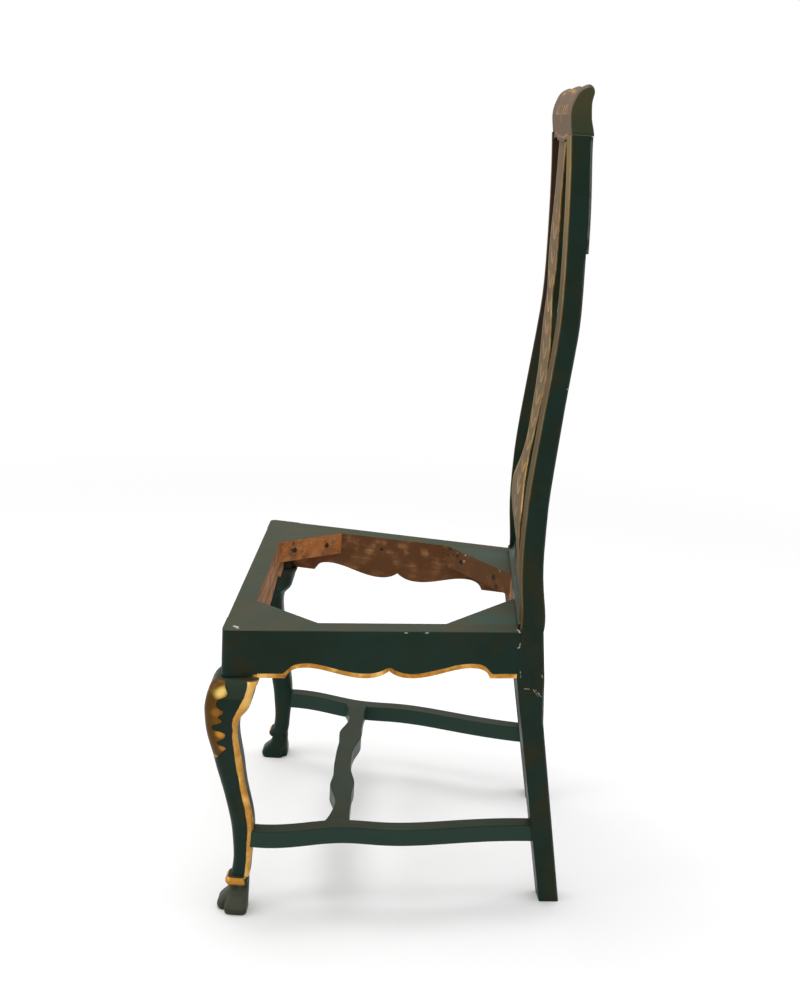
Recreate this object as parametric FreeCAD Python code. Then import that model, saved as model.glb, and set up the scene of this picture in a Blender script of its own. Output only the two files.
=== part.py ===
import FreeCAD, Part
import math
import os

# Painted side chair with cabriole front legs, a crooked back and a loose-seat frame.
# Millimetres, +Z up, +Y towards the back, X across the chair.
# While it is built, Y is counted from the front face of the seat frame. The whole chair is moved
# at the end so that the origin is on the floor under the middle of its bounding box.

# Seat frame
SEAT_HEIGHT = 430.0          # floor to the top of the rails
SEAT_WIDTH_FRONT = 515.0     # across the front corners
SEAT_WIDTH_REAR = 379.0      # across the rear posts
SEAT_DEPTH = 405.0           # front face to the front of the rear posts
RAIL_HEIGHT = 69.0
RAIL_THICKNESS = 30.0
RAIL_RELIEF = 15.0           # how far the scalloped lower edge rises
RAIL_ARRIS = 2.0
REAR_RAIL_THICKNESS = 28.0
FRONT_CORNER_RADIUS = 8.0    # plan rounding of the two front corners

# Front legs
LEG_BLOCK = 50.0             # side of the square part between the rails
KNEE_REACH = 20.0            # how far the knee stands in front of the rail
KNEE_SIDE_REACH = 18.0       # how far it stands out at the side
KNEE_SIZE = 65.0             # section just under the rail
ANKLE_INSET = 22.0           # how far the ankle lies behind the rail's face
ANKLE_SIDE_INSET = 11.0
ANKLE_SIZE = 26.0
COLLAR_SIZE = 32.0
COLLAR_HEIGHT = 12.0
COLLAR_CORNER = 8.0
HOOF_HEIGHT = 40.0
HOOF_REACH = 22.0            # from the middle of the foot to the tip of a claw and to the heel
HOOF_CLEFT = 10.0            # from the middle of the foot to the cleft, in each direction
HOOF_HEEL_SIDE = 14.0        # how far a claw reaches past the middle of the foot, away from its tip
HOOF_NECK = 26.0             # section under the collar
HOOF_CORNER = 8.0

# Rear posts
POST_HEIGHT = 1095.0         # floor to the shoulder under the crest rail
POST_WIDTH = 31.0            # across the front face
POST_DEPTH = 34.0            # front to back at the seat
POST_FOOT_DEPTH = 29.5
POST_FOOT_RAKE = 65.1        # how far the foot stands behind the seat's rear line
POST_FOOT_TOE_IN = 9.0
POST_TOP_TOE_IN = 23.0
POST_TURN = 7.0              # degrees that a post is turned outwards in plan
POST_HIP_DROP = 140.0        # the rear edge bends this far below the seat top
POST_HIP_DEPTH = 45.0        # depth of the post at that bend, with its rake
LUMBAR_REACH = 5.2           # forward bow of the lower back
BACK_SWEEP = 20.0            # backward bow of the upper back
POST_ARRIS = 2.5

# Crest rail
CREST_HEIGHT = 63.0          # above the posts
CREST_DEPTH = 29.0
CREST_DROP = 10.0            # the part between the posts hangs this far below their tops
CREST_UNDER_ARCH = 4.0
CREST_YOKE_DIP = 4.0         # hollow in the top edge between the middle and each end
CREST_EAR_FALL = 5.0         # how far the rounded ends drop

# Splat and its shoe
SPLAT_THICKNESS = 9.0
SPLAT_HALF_WIDTH = 120.0     # at the belly
SPLAT_SETBACK = 3.0          # behind the seat's rear line at the shoe
SPLAT_BELLY_REACH = 12.0     # forward bow at the belly
SPLAT_SWEEP = 13.5           # backward bow of the upper part
SPLAT_TENON = 12.0
SPLAT_TENON_INSET = 5.0      # shoulder at each side of the splat's tenons
SHOE_HEIGHT = 22.0
SHOE_DEPTH = 27.0
SHOE_TOP_DEPTH = 19.0
SHOE_LIP = 7.0               # upright part below the cove

# Stretchers
STRETCHER_TOP = 124.5        # floor to the top faces
STRETCHER_HEIGHT = 26.0
STRETCHER_WIDTH = 23.5
STRETCHER_WAVE = 5.0         # sideways swing of the side stretchers
STRETCHER_ARRIS = 2.0
CROSS_SETBACK = 165.0        # seat front to the middle of the cross stretcher
CROSS_WIDTH = 26.0
CROSS_TENON = 10.0

# Corner blocks and their screws
BLOCK_HEIGHT = 35.0
FRONT_BLOCK_ON_FRONT_RAIL = 72.0   # beyond the leg, along the front rail
FRONT_BLOCK_ON_SIDE_RAIL = 82.0    # beyond the leg, along the side rail
REAR_BLOCK_ON_SIDE_RAIL = 100.0    # in front of the post
REAR_BLOCK_ON_REAR_RAIL = 104.0    # beyond the post, along the rear rail
SCREW_RADIUS = 2.0
SCREW_HEAD_RADIUS = 4.2
SCREW_HEAD_HEIGHT = 2.6
SCREW_SINK = 1.5             # head below the face of the block
SCREW_BITE = 14.0            # length in the rail
SCREW_CLEARANCE = 0.15
SCREW_END_SHARE = 0.24       # along the face of the block, from each end

# Joints
TENON_THICKNESS = 10.0
TENON_LENGTH = 22.0
REAR_TENON_LENGTH = 14.0     # of the rear rail, in the narrow side of a post
TENON_SHOULDER = 9.0         # above and below a rail's tenon
TENON_CLEARANCE = 0.1
MORTISE_END_GAP = 1.0
POST_TENON_WIDTH = 16.0
POST_TENON_HEIGHT = 20.0
STRETCHER_TENON = 14.0
STRETCHER_TENON_SHOULDER = 5.0
OVERRUN = 20.0               # how far cutting shapes run past what they cut

X_AXIS = FreeCAD.Vector(1, 0, 0)
Y_AXIS = FreeCAD.Vector(0, 1, 0)
Z_AXIS = FreeCAD.Vector(0, 0, 1)
ORIGIN = FreeCAD.Vector(0, 0, 0)

rail_bottom = SEAT_HEIGHT - RAIL_HEIGHT
splay = math.atan2((SEAT_WIDTH_FRONT - SEAT_WIDTH_REAR) / 2, SEAT_DEPTH)
side_length = SEAT_DEPTH / math.cos(splay)
front_corner = FreeCAD.Vector(SEAT_WIDTH_FRONT / 2, 0, 0)
side_run = FreeCAD.Vector(-math.sin(splay), math.cos(splay), 0)
side_inward = FreeCAD.Vector(-math.cos(splay), -math.sin(splay), 0)


# Helpers

def vec(x, y, z=0.0):
    return FreeCAD.Vector(x, y, z)


def box(x_range, y_range, z_range):
    low = vec(min(x_range), min(y_range), min(z_range))
    high = vec(max(x_range), max(y_range), max(z_range))
    size = high - low
    return Part.makeBox(size.x, size.y, size.z, low)


def polyline(points):
    return [Part.makeLine(a, b) for a, b in zip(points, points[1:])]


def spline(points):
    curve = Part.BSplineCurve()
    curve.interpolate(points)
    return curve.toShape()


def extrude(edges, direction):
    face = Part.Face(Part.Wire(Part.__sortEdges__(edges)))
    return face.extrude(direction)


def solid_of(shape):
    """The one solid of a boolean result, so that each node is one piece."""
    shape = shape.removeSplitter()
    solids = shape.Solids
    if len(solids) != 1:
        raise ValueError(f"expected one solid, found {len(solids)}")
    return solids[0]


def on_side(shape):
    """From the side's own frame (x outwards, y along the side rail) to the right side of the chair."""
    placed = shape.copy()
    placed.rotate(ORIGIN, Z_AXIS, math.degrees(splay))
    placed.translate(front_corner)
    return placed


def on_post(shape):
    """From a post's own frame, at its outer front corner by the seat, to the right side of the chair."""
    placed = shape.copy()
    placed.rotate(ORIGIN, Z_AXIS, POST_TURN)
    placed.translate(side_point(0, side_length))
    return placed


def post_point(inward, back):
    """Plan point in a post's own frame, on the right side of the chair."""
    turn = math.radians(POST_TURN)
    return side_point(0, side_length) + vec(-math.cos(turn), -math.sin(turn)) * inward \
        + vec(-math.sin(turn), math.cos(turn)) * back


def side_point(inward, along, height=0.0):
    return front_corner + side_inward * inward + side_run * along + Z_AXIS * height


def mirrored(shape):
    return shape.mirror(ORIGIN, X_AXIS)


def rounded(shape, edges, radius):
    return shape.makeFillet(radius, edges)


def grown(x_range, y_range, z_range, ends):
    """The mortise for a tenon: looser by the clearance, and deeper at the named ends."""
    loose = []
    for name, (low, high) in zip("xyz", (x_range, y_range, z_range)):
        low_gap = MORTISE_END_GAP if f"-{name}" in ends else TENON_CLEARANCE
        high_gap = MORTISE_END_GAP if f"+{name}" in ends else TENON_CLEARANCE
        loose.append((low - low_gap, high + high_gap))
    return box(*loose)


# Outline of a rail's lower edge. Each point is a share of the run, from an end to the middle,
# and a share of the relief. It starts with a flat and ends in the cusp at the middle.
RAIL_FLAT_SHARE = 0.105
RAIL_EDGE_SHARES = [
    (RAIL_FLAT_SHARE, 0.0), (0.138, 0.86), (0.165, 1.0), (0.215, 0.95),
    (0.300, 0.45), (0.395, 0.0), (0.455, 0.12), (0.500, 0.70),
]


def scalloped_rail(length, thickness):
    """A rail along +Y from 0 to its length, its outer face at x = 0, its top at the seat height."""
    def at(share, rise_share):
        return vec(0, share * length, rail_bottom + rise_share * RAIL_RELIEF)

    near = spline([at(s, r) for s, r in RAIL_EDGE_SHARES])
    far = spline([at(1 - s, r) for s, r in reversed(RAIL_EDGE_SHARES)])
    start = at(0, 0)
    end = at(1, 0)
    top_start = vec(0, 0, SEAT_HEIGHT)
    top_end = vec(0, length, SEAT_HEIGHT)
    edges = [Part.makeLine(start, at(RAIL_FLAT_SHARE, 0)), near, far,
             Part.makeLine(at(1 - RAIL_FLAT_SHARE, 0), end)]
    edges += polyline([end, top_end, top_start, start])
    body = extrude(edges, vec(-thickness, 0, 0))
    outer_top = [e for e in body.Edges
                 if abs(e.BoundBox.ZMin - SEAT_HEIGHT) < RAIL_ARRIS and abs(e.BoundBox.XMin) < RAIL_ARRIS]
    return rounded(body, outer_top, RAIL_ARRIS)


# The tenons of the seat frame, as ranges in the frame that each rail is made in.
tenon_low = rail_bottom + RAIL_RELIEF / 2 + TENON_SHOULDER
tenon_high = SEAT_HEIGHT - TENON_SHOULDER
tenon_split = (tenon_low + tenon_high) / 2
front_tenon_y = (RAIL_THICKNESS / 2 - TENON_THICKNESS / 2, RAIL_THICKNESS / 2 + TENON_THICKNESS / 2)
side_tenon_x = (-front_tenon_y[1], -front_tenon_y[0])
front_rail_end = SEAT_WIDTH_FRONT / 2 - LEG_BLOCK
FRONT_TENON = ((front_rail_end, front_rail_end + TENON_LENGTH), front_tenon_y, (tenon_low, tenon_high))
SIDE_FRONT_TENON = (side_tenon_x, (LEG_BLOCK - TENON_LENGTH, LEG_BLOCK), (tenon_low, tenon_high))
SIDE_REAR_TENON = (
    side_tenon_x, (side_length - TENON_LENGTH, side_length + TENON_LENGTH), (tenon_low, tenon_split - TENON_CLEARANCE),
)

# The rear rail's front face is in line with the inner front corners of the posts.
rear_rail_front = post_point(POST_WIDTH, 0).y
rear_rail_end = post_point(POST_WIDTH, 0).x
rear_rail_middle = rear_rail_front + REAR_RAIL_THICKNESS / 2
REAR_TENON = (
    (rear_rail_end - OVERRUN, rear_rail_end + REAR_TENON_LENGTH),
    (rear_rail_middle - TENON_THICKNESS / 2, rear_rail_middle + TENON_THICKNESS / 2),
    (tenon_split + MORTISE_END_GAP, tenon_high),
)


# Front legs

# Each section of the leg below the rail: height as a share of the run under the rail,
# swing from -1 at the knee to +1 at the ankle, and size from 0 at the ankle to 1 at the knee.
LEG_SECTION_SHARES = [
    (1.000, -0.22, 0.77), (0.962, -0.745, 0.936), (0.922, -0.92, 0.944), (0.880, -1.00, 0.83),
    (0.838, -0.945, 0.56), (0.792, -0.85, 0.46), (0.710, -0.52, 0.377), (0.630, -0.20, 0.32),
    (0.545, 0.168, 0.228), (0.460, 0.50, 0.205), (0.375, 0.777, 0.174), (0.300, 0.923, 0.103),
    (0.235, 1.00, 0.008), (0.185, 0.97, 0.00),
]
LEG_FLARE_SHARE = 0.86       # swing just above the collar
LEG_CORNER_SHARE = 0.22      # corner radius as a share of the section's size at the knee
LEG_ANKLE_CORNER_SHARE = 0.36


def rounded_rectangle(x_range, y_range, radii, z):
    """Closed wire of four sides and four quarter rounds, always in the same order.

    The radii are for the corners at +x+y, -x+y, -x-y and +x-y.
    """
    x0, x1 = x_range
    y0, y1 = y_range
    corners = [(x1, y1, -1, -1), (x0, y1, 1, -1), (x0, y0, 1, 1), (x1, y0, -1, 1)]
    edges = []
    ends = []
    for quarter, ((x, y, way_x, way_y), radius) in enumerate(zip(corners, radii)):
        cx = x + way_x * radius
        cy = y + way_y * radius
        angles = [(quarter + turn) * math.pi / 2 for turn in (0, 0.5, 1)]
        start, mid, end = [vec(cx + radius * math.cos(a), cy + radius * math.sin(a), z) for a in angles]
        if ends:
            edges.append(Part.makeLine(ends[-1], start))
        edges.append(Part.Arc(start, mid, end).toShape())
        ends += [start, end] if not ends else [end]
    edges.append(Part.makeLine(ends[-1], ends[0]))
    return Part.Wire(edges)


def rounded_square(x_range, y_range, radius, z):
    return rounded_rectangle(x_range, y_range, (radius,) * 4, z)


def swing(share, out, inset):
    return share * out if share < 0 else share * inset


def leg_place(swing_share, size_share):
    """Plan ranges of one section of the right front leg."""
    size = ANKLE_SIZE + (KNEE_SIZE - ANKLE_SIZE) * size_share
    front = swing(swing_share, KNEE_REACH, ANKLE_INSET)
    side = SEAT_WIDTH_FRONT / 2 - swing(swing_share, KNEE_SIDE_REACH, ANKLE_SIDE_INSET)
    return (side - size, side), (front, front + size)


def leg_shaft():
    wires = []
    for height_share, swing_share, size_share in LEG_SECTION_SHARES:
        x_range, y_range = leg_place(swing_share, size_share)
        corner_share = LEG_ANKLE_CORNER_SHARE + (LEG_CORNER_SHARE - LEG_ANKLE_CORNER_SHARE) * size_share
        size = y_range[1] - y_range[0]
        wires.append(rounded_square(x_range, y_range, size * corner_share, rail_bottom * height_share))
    x_range, y_range = leg_place(LEG_FLARE_SHARE, 0)
    collar_top = HOOF_HEIGHT + COLLAR_HEIGHT - COLLAR_HEIGHT / 4
    wires.append(rounded_square(x_range, y_range, ANKLE_SIZE * LEG_ANKLE_CORNER_SHARE, collar_top))
    return Part.makeLoft(list(reversed(wires)), True, False)


def ankle_centre():
    x_range, y_range = leg_place(LEG_FLARE_SHARE, 0)
    return vec(sum(x_range) / 2, sum(y_range) / 2)


def foot_centre():
    """Middle of the foot in plan, forward and outward of the ankle."""
    ahead = ANKLE_SIZE / 3
    return ankle_centre() + vec(ahead, -ahead)


# Bevelled profile of the collar: share of its height, and share of its size
COLLAR_SHARES = [(0.0, 0.88), (0.3, 1.0), (0.65, 1.0), (1.0, 0.82)]


def leg_collar():
    centre = ankle_centre() + vec(ANKLE_SIZE / 8, -ANKLE_SIZE / 8)
    wires = []
    for height_share, size_share in COLLAR_SHARES:
        half = COLLAR_SIZE * size_share / 2
        wires.append(rounded_square((centre.x - half, centre.x + half), (centre.y - half, centre.y + half),
                                    COLLAR_CORNER * size_share, HOOF_HEIGHT + COLLAR_HEIGHT * height_share))
    return Part.makeLoft(wires, True, True)


# How far the hoof has flared from its neck to its full plan: share of its height, share of the flare
HOOF_SHARES = [(0.0, 0.88), (0.10, 0.98), (0.28, 0.95), (0.54, 0.48), (0.77, 0.14), (1.04, 0.0)]


def hoof_claw(x_range, y_range, neck_share):
    """A block that flares from the neck down to the given plan ranges."""
    neck = ankle_centre()
    half = HOOF_NECK * neck_share / 2
    start = [neck.x - half, neck.x + half, neck.y - half, neck.y + half]
    full = [*x_range, *y_range]
    wires = []
    for height_share, flare_share in HOOF_SHARES:
        x0, x1, y0, y1 = [a + (b - a) * flare_share for a, b in zip(start, full)]
        height = HOOF_HEIGHT * (height_share if flare_share else height_share / neck_share)
        wires.append(rounded_square((x0, x1), (y0, y1), HOOF_CORNER, height))
    return Part.makeLoft(wires, True, False)


# The claws are slightly nested at the neck, so that no two of their faces coincide.
HOOF_NECK_SHARES = (1.0, 0.96)


def hoof():
    """Cloven foot turned outwards: one claw to the side, one to the front, and the cleft between them."""
    centre = foot_centre()
    claws = [
        ((centre.x - HOOF_HEEL_SIDE, centre.x + HOOF_REACH), (centre.y - HOOF_CLEFT, centre.y + HOOF_REACH)),
        ((centre.x - HOOF_REACH, centre.x + HOOF_CLEFT), (centre.y - HOOF_REACH, centre.y + HOOF_HEEL_SIDE)),
    ]
    solids = [hoof_claw(*claw, share) for claw, share in zip(claws, HOOF_NECK_SHARES)]
    return solid_of(solids[0].fuse(solids[1:]))


def leg_block():
    """The square top of the leg. Its faces meet the ends of the front rail and the side rail."""
    corner = front_corner
    on_side_rail = side_point(0, LEG_BLOCK)
    on_front_rail = vec(front_rail_end, 0)
    depth = (LEG_BLOCK - (on_front_rail - corner).dot(side_run)) / side_run.y
    inner = vec(front_rail_end, depth)
    base = [p + Z_AXIS * rail_bottom for p in (corner, on_side_rail, inner, on_front_rail, corner)]
    body = extrude(polyline(base), Z_AXIS * RAIL_HEIGHT)
    upright = [e for e in body.Edges
               if (e.CenterOfMass - corner - Z_AXIS * (rail_bottom + RAIL_HEIGHT / 2)).Length < FRONT_CORNER_RADIUS]
    return rounded(body, upright, FRONT_CORNER_RADIUS)


def front_leg_whole():
    return solid_of(leg_block().fuse([leg_shaft(), leg_collar(), hoof()]))


# Rear posts, made in their own frame: outer side at x = 0, front at y = 0 by the seat

# Height above the seat as a share of the back, offset of the front face and depth as shares.
# A negative offset is a share of the lumbar reach, a positive one of the backward sweep.
POST_BACK_SHARES = [
    (0.000, 0.00, 0.96), (0.055, -0.04, 0.935), (0.110, -0.72, 0.885), (0.195, -1.00, 0.86),
    (0.300, -0.48, 0.83), (0.415, 0.235, 0.80), (0.515, 0.59, 0.77), (0.615, 0.91, 0.78),
    (0.700, 1.00, 0.77), (0.800, 0.95, 0.765), (0.900, 0.84, 0.745), (1.000, 0.63, 0.75),
]
POST_HIP_SHARE = 0.54        # depth gained by the post behind the rails, as a share of the gain at the hip
POST_SHARP_SHARE = 0.3       # the front arrises beside the rails, as a share of the others


def post_section(z, toe_in, front, depth, front_radius):
    """Section of a post: its outer side at -toe_in, its front at y = front."""
    return rounded_rectangle((-toe_in - POST_WIDTH, -toe_in), (front, front + depth),
                             (POST_ARRIS, POST_ARRIS, front_radius, front_radius), z)


def post_back_sections():
    back_height = POST_HEIGHT - SEAT_HEIGHT
    sections = []
    for height_share, offset_share, depth_share in POST_BACK_SHARES:
        front = swing(offset_share, LUMBAR_REACH, BACK_SWEEP)
        radius = POST_ARRIS * min(1, POST_SHARP_SHARE + height_share / POST_BACK_SHARES[1][0])
        sections.append(post_section(SEAT_HEIGHT + back_height * height_share, POST_TOP_TOE_IN * height_share,
                                     front, POST_DEPTH * depth_share, radius))
    return sections


def post_whole():
    """Back, straight part behind the rails and raked leg. Each shares a section with the next."""
    back = post_back_sections()
    shin = rail_bottom
    hip = SEAT_HEIGHT - POST_HIP_DROP
    behind = POST_DEPTH + (POST_HIP_DEPTH - POST_DEPTH) * POST_HIP_SHARE
    sharp = POST_ARRIS * POST_SHARP_SHARE
    shin_section = post_section(shin, 0, 0, behind, sharp)
    fall = (shin - hip) / shin
    hip_front = POST_FOOT_RAKE * fall
    hip_section = post_section(hip, POST_FOOT_TOE_IN * fall, hip_front, POST_HIP_DEPTH - hip_front, POST_ARRIS)
    foot_section = post_section(0, POST_FOOT_TOE_IN, POST_FOOT_RAKE, POST_FOOT_DEPTH, POST_ARRIS)
    parts = [
        Part.makeLoft(back, True, False),
        Part.makeLoft([shin_section, back[0]], True, True),
        Part.makeLoft([hip_section, shin_section], True, True),
        Part.makeLoft([foot_section, hip_section], True, True),
    ]
    return solid_of(parts[0].fuse(parts[1:]))


# Tenon on top of a post, in the post's own frame
top_front = BACK_SWEEP * POST_BACK_SHARES[-1][1]
top_depth = POST_DEPTH * POST_BACK_SHARES[-1][2]
post_middle_x = -POST_TOP_TOE_IN - POST_WIDTH / 2
POST_TENON = (
    (post_middle_x - POST_TENON_WIDTH / 2, post_middle_x + POST_TENON_WIDTH / 2),
    (top_front + top_depth / 2 - TENON_THICKNESS / 2, top_front + top_depth / 2 + TENON_THICKNESS / 2),
    (POST_HEIGHT, POST_HEIGHT + POST_TENON_HEIGHT),
)

# Stretchers

stretcher_bottom = STRETCHER_TOP - STRETCHER_HEIGHT
stretcher_middle = STRETCHER_TOP - STRETCHER_HEIGHT / 2


def leg_middle_at(height):
    """Plan middle of the front leg at a height, read between the two nearest sections."""
    share = height / rail_bottom
    for upper, lower in zip(LEG_SECTION_SHARES, LEG_SECTION_SHARES[1:]):
        if upper[0] >= share >= lower[0]:
            t = (share - lower[0]) / (upper[0] - lower[0])
            middles = []
            for _, swing_share, size_share in (upper, lower):
                x_range, y_range = leg_place(swing_share, size_share)
                middles.append(vec(sum(x_range) / 2, sum(y_range) / 2))
            return middles[0] * t + middles[1] * (1 - t)
    x_range, y_range = leg_place(LEG_SECTION_SHARES[-1][1], LEG_SECTION_SHARES[-1][2])
    return vec(sum(x_range) / 2, sum(y_range) / 2)


def post_middle_at(height):
    """Plan middle of the rear post at a height below the rails."""
    down = 1 - height / rail_bottom
    rise = height / (SEAT_HEIGHT - POST_HIP_DROP)
    front = POST_FOOT_RAKE * down
    rear = (POST_FOOT_RAKE + POST_FOOT_DEPTH) * (1 - rise) + POST_HIP_DEPTH * rise
    return post_point(POST_FOOT_TOE_IN * down + POST_WIDTH / 2, (front + rear) / 2)


stretcher_start = leg_middle_at(stretcher_middle)
stretcher_end = post_middle_at(stretcher_middle)
stretcher_way = (stretcher_end - stretcher_start).normalize()
stretcher_out = vec(stretcher_way.y, -stretcher_way.x)
stretcher_length = (stretcher_end - stretcher_start).Length

# Sideways swing of a side stretcher: share of its length, share of the wave, outwards positive
STRETCHER_WAVE_SHARES = [(0.0, 0.0), (0.16, 1.0), (0.32, -0.8), (0.46, 0.9), (0.72, 0.2), (1.0, 0.0)]


def stretcher_point(length_share, across, z):
    along = stretcher_start + stretcher_way * (stretcher_length * length_share)
    return vec(along.x, along.y, z) + stretcher_out * across


def side_stretcher_whole(leg, post):
    half = STRETCHER_WIDTH / 2
    outer = [stretcher_point(s, w * STRETCHER_WAVE + half, stretcher_bottom) for s, w in STRETCHER_WAVE_SHARES]
    inner = [stretcher_point(s, w * STRETCHER_WAVE - half, stretcher_bottom) for s, w in STRETCHER_WAVE_SHARES]
    edges = [spline(outer), Part.makeLine(outer[-1], inner[-1]),
             spline(list(reversed(inner))), Part.makeLine(inner[0], outer[0])]
    body = extrude(edges, Z_AXIS * STRETCHER_HEIGHT)
    long_edges = [e for e in body.Edges if e.BoundBox.YLength > stretcher_length / 2]
    body = rounded(body, long_edges, STRETCHER_ARRIS)
    return solid_of(body.cut(leg).cut(post))


def stretcher_tenon(point, way, loose):
    """Tenon of a side stretcher about one of its ends, running along it both ways from the point."""
    gap = TENON_CLEARANCE if loose else 0
    end_gap = MORTISE_END_GAP if loose else 0
    half = TENON_THICKNESS / 2 + gap
    low = stretcher_bottom + STRETCHER_TENON_SHOULDER - gap
    high = STRETCHER_TOP - STRETCHER_TENON_SHOULDER + gap
    reach = STRETCHER_TENON / 2 + end_gap
    tail = STRETCHER_WIDTH
    side = vec(way.y, -way.x)
    ends = [(-reach, -half), (tail, -half), (tail, half), (-reach, half)]
    points = [point + way * a + side * b + Z_AXIS * low for a, b in ends]
    points = [vec(p.x, p.y, low) for p in points]
    return extrude(polyline(points + points[:1]), Z_AXIS * (high - low))


# Edges of the cross stretcher: share of half its length, share of its width from its middle line
CROSS_FRONT_SHARES = [(0.0, -0.74), (0.15, -0.73), (0.30, -0.69), (0.43, -0.76), (0.52, -0.60),
                      (0.64, -0.34), (0.80, -0.40), (0.92, -0.62), (1.0, -0.95)]
CROSS_REAR_SHARES = [(0.0, 0.26), (0.12, 0.27), (0.26, 0.46), (0.38, 0.64), (0.50, 0.58),
                     (0.62, 0.60), (0.84, 0.62), (0.93, 0.72), (1.0, 0.90)]

cross_share = (CROSS_SETBACK - stretcher_start.y) / (stretcher_end.y - stretcher_start.y)
cross_reach = stretcher_point(cross_share, 0, 0).x


def cross_edge(shares):
    half = cross_reach
    right = [vec(s * half, CROSS_SETBACK + w * CROSS_WIDTH, stretcher_bottom) for s, w in shares]
    left = [vec(-p.x, p.y, p.z) for p in reversed(right[1:])]
    return left + right


def cross_stretcher_whole(side_stretchers):
    front = cross_edge(CROSS_FRONT_SHARES)
    rear = cross_edge(CROSS_REAR_SHARES)
    edges = [spline(front), Part.makeLine(front[-1], rear[-1]),
             spline(list(reversed(rear))), Part.makeLine(rear[0], front[0])]
    body = extrude(edges, Z_AXIS * STRETCHER_HEIGHT)
    long_edges = [e for e in body.Edges if e.BoundBox.XLength > cross_reach]
    body = rounded(body, long_edges, STRETCHER_ARRIS)
    for stretcher in side_stretchers:
        body = body.cut(stretcher)
    return max(body.Solids, key=lambda s: s.Volume)


def cross_tenon(loose):
    """Tenon of the cross stretcher in the right side stretcher."""
    gap = TENON_CLEARANCE if loose else 0
    end_gap = MORTISE_END_GAP if loose else 0
    inner_face = cross_reach - STRETCHER_WIDTH / 2
    return box((inner_face - STRETCHER_WIDTH / 2, inner_face + CROSS_TENON + end_gap),
               (CROSS_SETBACK - TENON_THICKNESS / 2 - gap, CROSS_SETBACK + TENON_THICKNESS / 2 + gap),
               (stretcher_bottom + STRETCHER_TENON_SHOULDER - gap, STRETCHER_TOP - STRETCHER_TENON_SHOULDER + gap))


# Crest rail

crest_under = POST_HEIGHT - CREST_DROP
crest_front = post_point(POST_TOP_TOE_IN, top_front).y
crest_half = post_point(POST_TOP_TOE_IN, top_front).x

# Section of the crest rail: share of its depth from the front, share of its height above the posts.
# It starts under the front and goes over the rolled top to the rear.
CREST_SECTION_SHARES = [
    (0.00, 0.00), (-0.07, 0.25), (-0.10, 0.46), (-0.06, 0.61), (0.05, 0.77), (0.19, 0.89), (0.42, 0.97),
    (0.68, 1.00), (0.82, 0.95), (0.80, 0.75), (0.80, 0.50), (0.84, 0.33), (0.91, 0.20), (1.00, 0.00),
]
# Stations from the middle to the end: share of the half length, share of the yoke's dip, share of the ear's fall
CREST_STATION_SHARES = [
    (0.00, 0.0, 0.0), (0.16, 0.15, 0.0), (0.34, 0.75, 0.0), (0.50, 1.0, 0.0), (0.66, 0.70, 0.0),
    (0.80, 0.20, 0.0), (0.90, 0.0, 0.10), (0.96, 0.0, 0.42), (1.00, 0.0, 1.0),
]


def crest_section(x, height):
    points = [vec(x, crest_front + CREST_DEPTH * d, POST_HEIGHT + height * h) for d, h in CREST_SECTION_SHARES]
    low_front = vec(x, points[0].y, crest_under)
    low_rear = vec(x, points[-1].y, crest_under)
    edges = [spline(points)] + polyline([points[-1], low_rear, low_front, points[0]])
    return Part.Wire(edges)


def under_arches():
    """Cutters for the two shallow arches between the splat and the posts."""
    inner = post_point(POST_TOP_TOE_IN + POST_WIDTH, top_front).x
    splat_edge = SPLAT_HALF_WIDTH * SPLAT_OUTLINE_SHARES[-1][1]
    start = vec(splat_edge, 0, crest_under)
    end = vec(inner, 0, crest_under)
    top = vec((splat_edge + inner) / 2, 0, crest_under + CREST_UNDER_ARCH)
    arch = extrude([Part.Arc(start, top, end).toShape(), Part.makeLine(end, start)], Y_AXIS * (2 * SEAT_DEPTH))
    return [arch, mirrored(arch)]


def crest_whole(posts):
    """Rolled rail on top of the posts. Its ends follow the posts' outer sides and fronts."""
    stations = []
    for share, dip, fall in CREST_STATION_SHARES:
        height = CREST_HEIGHT - CREST_YOKE_DIP * dip - CREST_EAR_FALL * fall
        stations.append((share * crest_half, height))
    stations = [(-x, h) for x, h in reversed(stations[1:])] + stations
    body = Part.makeLoft([crest_section(x, h) for x, h in stations], True, False)
    high = POST_HEIGHT + CREST_HEIGHT + OVERRUN
    inner = -POST_TOP_TOE_IN - POST_WIDTH
    outside = box((-POST_TOP_TOE_IN, OVERRUN), (-SEAT_DEPTH, SEAT_DEPTH), (crest_under - OVERRUN, high))
    below = box((inner, OVERRUN), (-SEAT_DEPTH, SEAT_DEPTH), (crest_under - OVERRUN, POST_HEIGHT))
    for cutter in (on_post(outside), on_post(below)):
        body = body.cut([cutter, mirrored(cutter)])
    return solid_of(body.cut(posts + under_arches()))


# Splat

splat_bottom = SEAT_HEIGHT + SHOE_HEIGHT
splat_height = POST_HEIGHT - CREST_DROP - splat_bottom

# Right edge of the vase: share of the height, share of the half width
SPLAT_OUTLINE_SHARES = [
    (0.000, 0.44), (0.045, 0.43), (0.075, 0.55), (0.105, 0.84), (0.140, 1.00), (0.185, 0.96),
    (0.225, 0.74), (0.262, 0.50), (0.315, 0.35), (0.380, 0.42), (0.450, 0.54), (0.535, 0.66),
    (0.595, 0.60), (0.640, 0.45), (0.668, 0.39), (0.700, 0.46), (0.750, 0.60), (0.800, 0.58),
    (0.860, 0.48), (0.930, 0.44), (1.000, 0.46),
]
# Front face seen from the side: share of the height, share of the belly's reach or of the sweep
SPLAT_PROFILE_SHARES = [
    (0.000, 0.00), (0.070, -0.40), (0.145, -1.00), (0.230, -0.80), (0.310, -0.20), (0.390, 0.25),
    (0.490, 0.68), (0.600, 0.74), (0.720, 0.71), (0.860, 0.69), (1.000, 0.69),
]


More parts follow.
